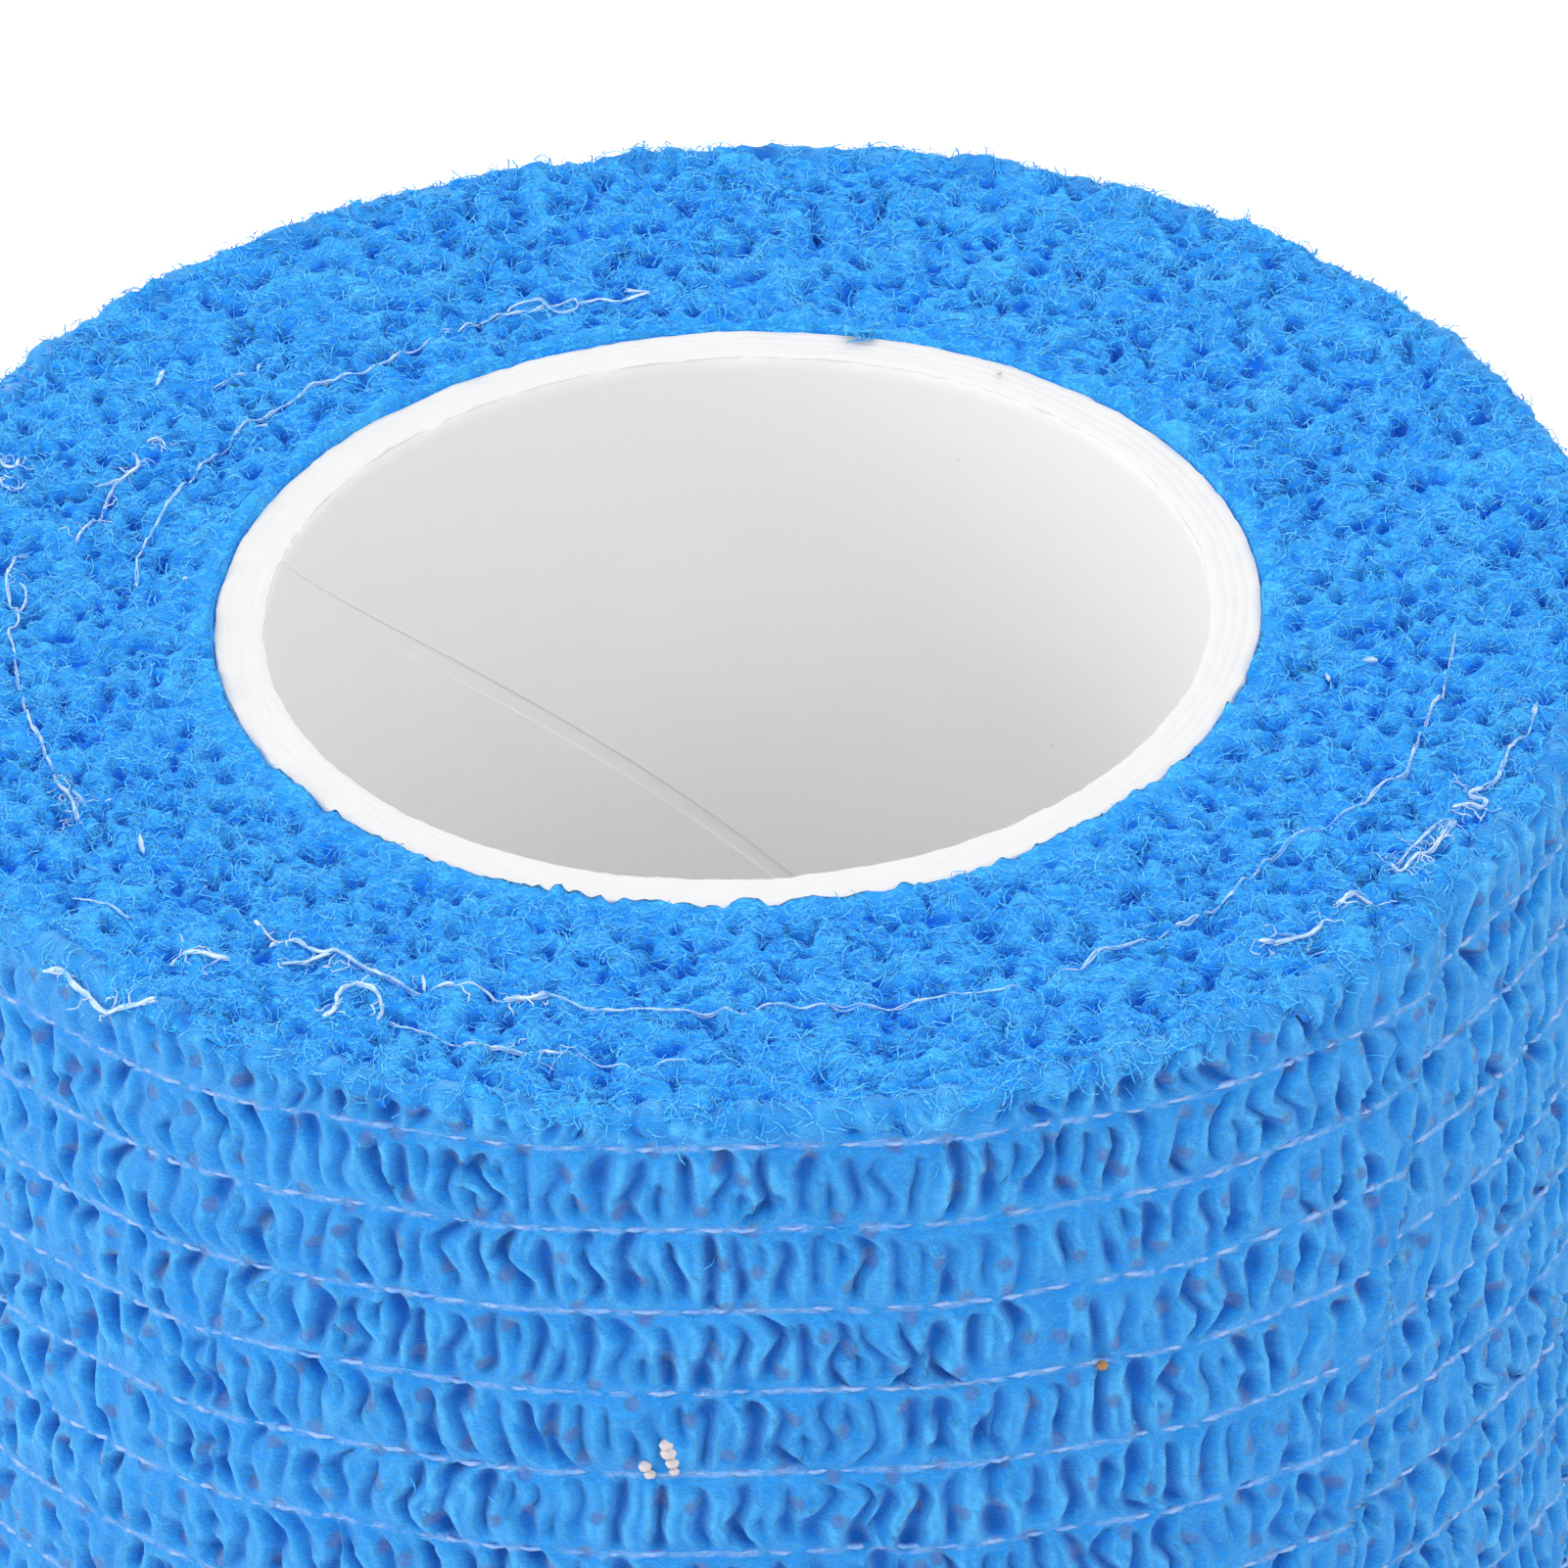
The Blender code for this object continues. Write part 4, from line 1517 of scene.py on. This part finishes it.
@dataclass
class LooseThreads:
    """The thread ends and stretches that the knife left on the top face."""

    form: WoundForm
    face: EndFace
    sight: Sight
    strand: Recipe
    radius: float = 0.042
    step: float = 0.12
    spread: float = 0.045
    lift: float = 0.17
    hair: float = 0.45
    seed: int = 47

    def spine(self, run: ThreadRun) -> Array:
        """A run's smooth middle line through its turning points, as x and y."""
        flat = self.sight.on_level(np.array(run.course), self.form.width)
        reach = np.concatenate([[0.0], np.cumsum(np.linalg.norm(np.diff(flat, axis=0), axis=1))])
        spot = np.linspace(0, reach[-1], max(4, int(reach[-1] / self.step)))
        low = np.clip(np.searchsorted(reach, spot, side="right") - 1, 0, len(flat) - 2)
        share = ((spot - reach[low]) / (reach[low + 1] - reach[low]))[:, None]
        padded = np.concatenate([2 * flat[:1] - flat[1:2], flat, 2 * flat[-1:] - flat[-2:-1]])
        before, here, there, after = (padded[low + step] for step in range(4))
        bend = (2 * before - 5 * here + 4 * there - after) * share
        twist = (3 * (here - there) + after - before) * share**2
        return here + 0.5 * share * (there - before + bend + twist)

    def lay(self, flat: Array, thick: float, draw: np.random.Generator) -> tuple[Array, Array]:
        """Lays one strand along a flat line, resting on the face's crests.

        Args:
            flat: the line's x and y.
            thick: how thick the strand is, 1 being its full radius.
            draw: the random source.

        Returns:
            The strand's points and its thickness at each.
        """
        count = len(flat)
        aside = [wander(draw, count, 5) + 0.5 * wander(draw, count, 2) for _ in range(2)]
        flat = flat + self.spread * np.stack(aside, 1)
        radius = np.linalg.norm(flat, axis=1)
        bearing = bearing_of(flat)
        outside = self.form.outer(bearing, np.zeros(count))
        over = np.maximum(radius, self.face.skirt[1])
        depth = self.face.relief(over, bearing)[0] + self.face.dished(over, outside)
        depth = np.convolve(np.pad(depth, 3, mode="edge"), np.ones(7) / 7, mode="valid")
        height = self.form.width - depth + self.lift + 0.05 * wander(draw, count, 4)
        thickness = thick * (0.85 + 0.3 * wander(draw, count, 3))
        thickness[[0, -1]] *= 0.4
        return place(radius, bearing, height), thickness

    def curl(self, flat: Array, draw: np.random.Generator) -> Array:
        """A short curl that starts somewhere on a flat line."""
        count = int(draw.integers(5, 11))
        turn = draw.uniform(0, 2 * np.pi) + np.cumsum(draw.normal(0, 0.8, count))
        steps = np.stack([np.cos(turn), np.sin(turn)], 1) * self.step
        return flat[draw.integers(len(flat))] + np.cumsum(steps, axis=0)

    def build(self, name: str, runs: Sequence[ThreadRun], finish: bpy.types.Material) -> bpy.types.Object:
        """Makes one piece of some loose stretches.

        Args:
            name: the piece's name.
            runs: the stretches.
            finish: the material.

        Returns:
            The piece.
        """
        draw = np.random.default_rng(self.seed)
        laid = []
        for run in runs:
            flat = self.spine(run)
            laid += [self.lay(flat, run.thick, draw) for _ in range(run.strands + 1)]
            hairs = [self.curl(flat, draw) for _ in range(3 * run.fluff)]
            laid += [self.lay(hair, run.thick * self.hair, draw) for hair in hairs]
        return sweep(self.strand, name, laid, self.radius, finish)


@dataclass
class Fuzz:
    """Curled fibres that lie on the cloth and stand off it a little."""

    recipe: Recipe
    length: float = 0.72
    width: float = 0.032
    on_top: float = 17.0  # fibres on each square millimetre of crest
    on_side: float = 15.0
    on_foot: float = 0.5

    def build(
        self, name: str, over: Sequence[bpy.types.Object], per_mm2: float, finish: bpy.types.Material
    ) -> bpy.types.Object:
        """Scatters fibres over some pieces.

        Args:
            name: the new piece's name.
            over: the cloth pieces.
            per_mm2: how many fibres stand on each square millimetre of crest.
            finish: the fibres' material.

        Returns:
            One piece of all the fibres.
        """
        grown = [
            self.recipe.run(
                piece,
                f"{name}_{number}",
                Density=per_mm2 / MM**2,
                Length=self.length * MM,
                Width=self.width * MM,
                Seed=number,
                Finish=finish,
            )
            for number, piece in enumerate(over)
        ]
        if len(grown) > 1:
            chosen = {"active_object": grown[0], "selected_editable_objects": grown}
            with bpy.context.temp_override(**chosen, selected_objects=grown):
                bpy.ops.object.join()
        grown[0].name = name
        on_floor(grown[0].data)
        settle(grown[0], CLOTH_SLOT)
        return grown[0]


def on_floor(mesh: bpy.types.Mesh) -> None:
    """Lifts a mesh's lowest points to the floor."""
    points = read(mesh.vertices, "co", np.float32, 3)
    points[:, 2] = np.maximum(points[:, 2], 0.0)
    mesh.vertices.foreach_set("co", points.ravel())


# ---------------------------------------------------------------- the tube


@dataclass
class CoreTube:
    """The spiral-wound paper tube: plies at its ends and one seam gap inside."""

    recipe: Recipe
    radius: float
    length: float
    wall: float = 1.6
    plies: int = 4
    ply_groove: float = 0.008
    edge: float = 0.14
    segments: int = 300
    wall_rows: int = 6
    wall_clear: float = 0.6
    seam_width: float = 0.54
    seam_depth: float = 0.007
    seam_growth: float = 0.145
    seam_lead: float = 90.5
    seam_top: float = -103.8
    overrun: float = 2.0
    seam_clear: float = 0.4
    ragged: float = 0.12

    def section(self) -> Array:
        """The closed section as (inset from the outside, height), from the top ply to the foot."""
        width = (self.wall - 2 * self.edge) / self.plies
        end = [(0.0, -self.edge), (0.3 * self.edge, -0.3 * self.edge)]
        for ply in range(self.plies):
            start = self.edge + width * ply
            end += [(start, 0.0), (start + 0.42 * width, 0.012), (start + 0.84 * width, 0.0)]
            if ply < self.plies - 1:
                end.append((start + 0.92 * width, -self.ply_groove))
        end += [(self.wall - 0.3 * self.edge, -0.3 * self.edge), (self.wall, -self.edge)]
        top = [(inset, self.length - 0.012 + rise) for inset, rise in end]
        rows = np.linspace(self.length - self.wall_clear, self.wall_clear, self.wall_rows)
        inside = [(self.wall, float(row)) for row in rows]
        foot = [(inset, 0.012 - rise) for inset, rise in reversed(end)]
        return np.array(top + inside + foot)

    def build(self, finish: bpy.types.Material) -> bpy.types.Object:
        """Makes the tube from its section and cuts its seam."""
        section = self.section()
        flat = np.stack([-section[:, 0], -section[:, 1], np.zeros(len(section))], 1) * MM
        edges = [(spot, (spot + 1) % len(flat)) for spot in range(len(flat))]
        helper = add_helper("tube_section", flat, edges)
        inner = self.radius - self.wall
        reach = self.length + self.overrun - self.seam_clear
        turns = reach / self.seam_lead
        start = self.seam_top - 360 * (self.length + self.overrun) / self.seam_lead
        piece = self.recipe.run(
            helper,
            "core_tube_paper",
            Radius=self.radius * MM,
            Length=self.length * MM,
            Segments=self.segments,
            Ragged=self.ragged * MM,
            **{
                "Seam Radius": (inner + self.seam_depth - 0.5) * MM,
                "Seam Growth": self.seam_growth * MM,
                "Seam Thickness": 1.0 * MM,
                "Seam Width": self.seam_width * MM,
                "Seam Rise": reach * MM,
                "Seam Turns": turns,
                "Seam Start": math.radians(start - 90),
                "Seam Drop": -self.overrun * MM,
            },
            Finish=finish,
        )
        bpy.data.objects.remove(helper, do_unlink=True)
        outward(piece.data)
        on_floor(piece.data)
        piece.data.set_sharp_from_angle(angle=math.radians(38))
        self.true_walls(piece.data)
        settle(piece, PAPER_SLOT, "core_tube")
        return piece

    def true_walls(self, mesh: bpy.types.Mesh) -> None:
        """Shades the straight walls as true cylinders, whatever faces the seam's cut left."""
        normals = read(mesh.corner_normals, "vector", np.float32, 3)
        points = read(mesh.vertices, "co", np.float32, 3)[read(mesh.loops, "vertex_index", np.int32)]
        sizes = read(mesh.polygons, "loop_total", np.int32)
        faces = np.repeat(read(mesh.polygons, "normal", np.float32, 3), sizes, axis=0)
        out = points * np.array([1.0, 1.0, 0.0])
        radius = np.linalg.norm(out, axis=1, keepdims=True)
        out = out / radius
        away = np.sum(faces * out, axis=1)
        clear = np.abs(points[:, 2] / MM - self.length / 2) < self.length / 2 - 0.9 * self.wall_clear
        for wall_radius, sign in ((self.radius - self.wall, -1), (self.radius, 1)):
            near = np.abs(radius[:, 0] / MM - wall_radius) < 0.02
            wall = clear & near & (away * sign > 0.985)
            normals[wall] = out[wall] * sign
        mesh.normals_split_custom_set(normals)


def outward(mesh: bpy.types.Mesh) -> None:
    """Turns a closed mesh's faces outwards."""
    bm = bmesh.new()
    bm.from_mesh(mesh)
    bmesh.ops.recalc_face_normals(bm, faces=bm.faces[:])
    bm.to_mesh(mesh)
    bm.free()


# ---------------------------------------------------------------- crumbs


@dataclass
class Crumbs:
    """A few dried crumbs of gum caught in the outer turn."""

    form: WoundForm
    sight: Sight
    spots: tuple[tuple[int, int, float, bool], ...] = (
        # pixel of the photograph, then size and whether it is cream
        (680, 1478, 0.22, True),
        (682, 1486, 0.25, True),
        (686, 1496, 0.21, True),
        (688, 1505, 0.16, True),
        (658, 1500, 0.20, True),
        (663, 1508, 0.18, True),
        (1126, 1395, 0.18, False),
        (1477, 1009, 0.15, False),
    )
    nick: tuple[int, int] = (1020, 380)  # the pixel of the dark mark on the tube's end
    nick_size: float = 0.10

    def build(self, cream: bpy.types.Material, amber: bpy.types.Material) -> bpy.types.Object:
        """Makes one piece of all the crumbs."""
        bm = bmesh.new()
        placed = []
        for x, y, size, pale in self.spots:
            hit = self.sight.on_wall(np.array([(x, y)]), self.form.radius)[0]
            bearing = bearing_of(hit)
            radius = self.form.outer(bearing, self.form.width - hit[2]) - 0.06
            placed.append((place(radius, bearing, hit[2]), size, pale))
        flaw = self.sight.on_level(np.array([self.nick]), self.form.width)[0]
        placed.append((np.append(flaw, self.form.width - 0.02), self.nick_size, True))
        for point, size, _ in placed:
            centre = Vector(point * MM)
            made = bmesh.ops.create_icosphere(bm, subdivisions=3, radius=size * MM)
            for vert in made["verts"]:
                way = vert.co.normalized()
                lump = 1 + 0.10 * math.sin(3 * way.x + 4 * way.y) + 0.06 * math.sin(5 * way.z)
                vert.co = centre + vert.co * lump * Vector((1.0, 0.8, 0.9))
            for face in {face for vert in made["verts"] for face in vert.link_faces}:
                face.smooth = True
        mesh = bpy.data.meshes.new("gum_crumbs")
        bm.to_mesh(mesh)
        bm.free()
        piece = add_piece("gum_crumbs", mesh, cream)
        mesh.materials.append(amber)
        finishes = np.array([0 if pale else 1 for *_, pale in placed], np.int32)
        each = len(mesh.polygons) // len(placed)
        mesh.polygons.foreach_set("material_index", np.repeat(finishes, each))
        settle(piece, CLOTH_SLOT)
        return piece


# ---------------------------------------------------------------- studio


@dataclass
class Studio:
    """A pale floor, soft lights and the camera at the photograph's angle."""

    sight: Sight
    sensor: float = 36.0
    floor_half: float = 1500.0
    floor_colour: Colour = (0.93, 0.93, 0.93)

    def camera(self) -> None:
        """Sets the camera where the photograph was taken from."""
        seat, right, up, ahead = self.sight.axes()
        data = bpy.data.cameras.new("camera")
        data.sensor_width = self.sensor
        data.lens = self.sight.focal_px / self.sight.frame_px * self.sensor
        data.clip_start, data.clip_end = 0.05, 10.0
        turned = Matrix((right, up, -ahead)).transposed().to_4x4()
        seen = bpy.data.objects.new("camera", data)
        seen.matrix_world = Matrix.Translation(seat * MM) @ turned
        bpy.context.scene.collection.objects.link(seen)
        bpy.context.scene.camera = seen

    def floor(self) -> None:
        """Lays the pale floor."""
        dye = Dye("studio_floor")
        dye.shader.inputs["Base Color"].default_value = rgba(self.floor_colour)
        dye.shader.inputs["Roughness"].default_value = 0.9
        dye.shader.inputs["Specular IOR Level"].default_value = 0.1
        half = self.floor_half
        points = np.array([(-half, -half, 0), (half, -half, 0), (half, half, 0), (-half, half, 0)])
        floor = add_piece("floor", mesh_from("floor", points, np.array([(0, 1, 2, 3)])), dye.made)

    def lights(self) -> None:
        """Hangs the soft lights."""
        rigs = (
            # name, place in metres, power in watts, size in metres
            ("key", (-0.45, -0.55, 1.00), 2.2, 0.80),
            ("fill", (0.60, -0.45, 0.95), 1.8, 0.80),
            ("overhead", (0.05, 0.30, 1.30), 2.4, 0.80),
            ("left", (-1.10, -0.10, 0.35), 3.5, 0.60),
        )
        for name, spot, power, size in rigs:
            data = bpy.data.lights.new(name, "AREA")
            data.energy = power
            data.size = size
            lamp = bpy.data.objects.new(name, data)
            lamp.location = spot
            lamp.rotation_mode = "QUATERNION"
            aim = Vector((0.0, 0.0, 0.03)) - Vector(spot)
            lamp.rotation_quaternion = aim.to_track_quat("-Z", "Y")
            bpy.context.scene.collection.objects.link(lamp)
        world = bpy.data.worlds.new("studio")
        world.use_nodes = True
        sky = world.node_tree.nodes["Background"]
        sky.inputs["Color"].default_value = (1.0, 1.0, 1.0, 1.0)
        sky.inputs["Strength"].default_value = 1.05
        bpy.context.scene.world = world
        bpy.context.scene.view_settings.view_transform = "Standard"

    def build(self) -> None:
        """Sets up everything round the roll."""
        self.camera()
        self.floor()
        self.lights()


# ---------------------------------------------------------------- the whole roll


def main() -> None:
    """Builds every part of the roll in order and reports each piece."""
    logging.basicConfig(level=logging.INFO, format="%(message)s")
    low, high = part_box("core_tube")
    tube_radius = (high[0] - low[0]) / 2 / MM
    tube_length = high[2] / MM
    form = WoundForm()
    sight = Sight(tube_top=tube_length)
    Studio(sight).build()
    # in both cloth finishes the crest colour also paints a highlight on crests, and the fold colour paints
    # shade in folds and pits
    side_cloth = ClothFinish(
        "bandage_side",
        Weave.SIDE,
        crest=(0.085, 0.460, 0.900),
        base=(0.012, 0.225, 0.675),
        hollow_shade=(0.004, 0.130, 0.540),
        sheen=0.52,
        felt_share=0.20,
        broad_share=0.15,
        bump_mm=0.02,
    ).build()
    end_cloth = ClothFinish("bandage_end", Weave.END).build()
    fibre = ClothFinish(
        "bandage_fibre", Weave.FIBRE, crest=(0.17, 0.62, 0.97), base=(0.032, 0.37, 0.91), sheen=0.0
    ).build()
    # the blue in these yarn colours is a painted cast of light bounced from the cloth
    yarn = ThreadFinish("elastic_yarn", (0.32, 0.50, 0.84), (0.15, 0.38, 0.79)).build()
    lint = ThreadFinish("loose_yarn", (0.58, 0.74, 0.92), (0.28, 0.52, 0.90)).build()
    faint = ThreadFinish("faint_yarn", (0.48, 0.68, 0.93), (0.25, 0.52, 0.91)).build()
    paper = PaperFinish("core_paper", tube_length).build()
    cream = CrumbFinish("cream_gum", (0.62, 0.56, 0.58)).build()
    amber = CrumbFinish("amber_gum", (0.36, 0.18, 0.07)).build()

    turn = OuterTurn(form)
    sides = turn.build(side_cloth)
    top = EndFace(form, End.TOP)
    tops = top.build(end_cloth)
    foot = EndFace(form, End.FOOT, columns=440, rings=30, sectors=1, seed=29, dish=((0.0, 0.1), (12.0, 0.1)))
    feet = foot.build(end_cloth)
    strand = strand_recipe()
    ElasticRows(turn, strand).build(yarn)
    loose = LooseThreads(form, top, sight, strand)
    loose.build("loose_threads", [run for run in LOOSE_RUNS.values() if not run.faint], lint)
    loose.build("faint_threads", [run for run in LOOSE_RUNS.values() if run.faint], faint)
    loose.build("ring_fluff", [RING_FLUFF], fibre)
    fuzz = Fuzz(fuzz_recipe())
    for number, piece in enumerate(tops, 1):
        fuzz.build(f"fuzz_top_{number}", [piece], fuzz.on_top, fibre)
    fuzz.build("fuzz_side", sides, fuzz.on_side, fibre)
    fuzz.build("fuzz_foot", feet, fuzz.on_foot, fibre)
    CoreTube(tube_recipe(), tube_radius, tube_length).build(paper)
    Crumbs(form, sight).build(cream, amber)


if __name__ == "__main__":
    main()
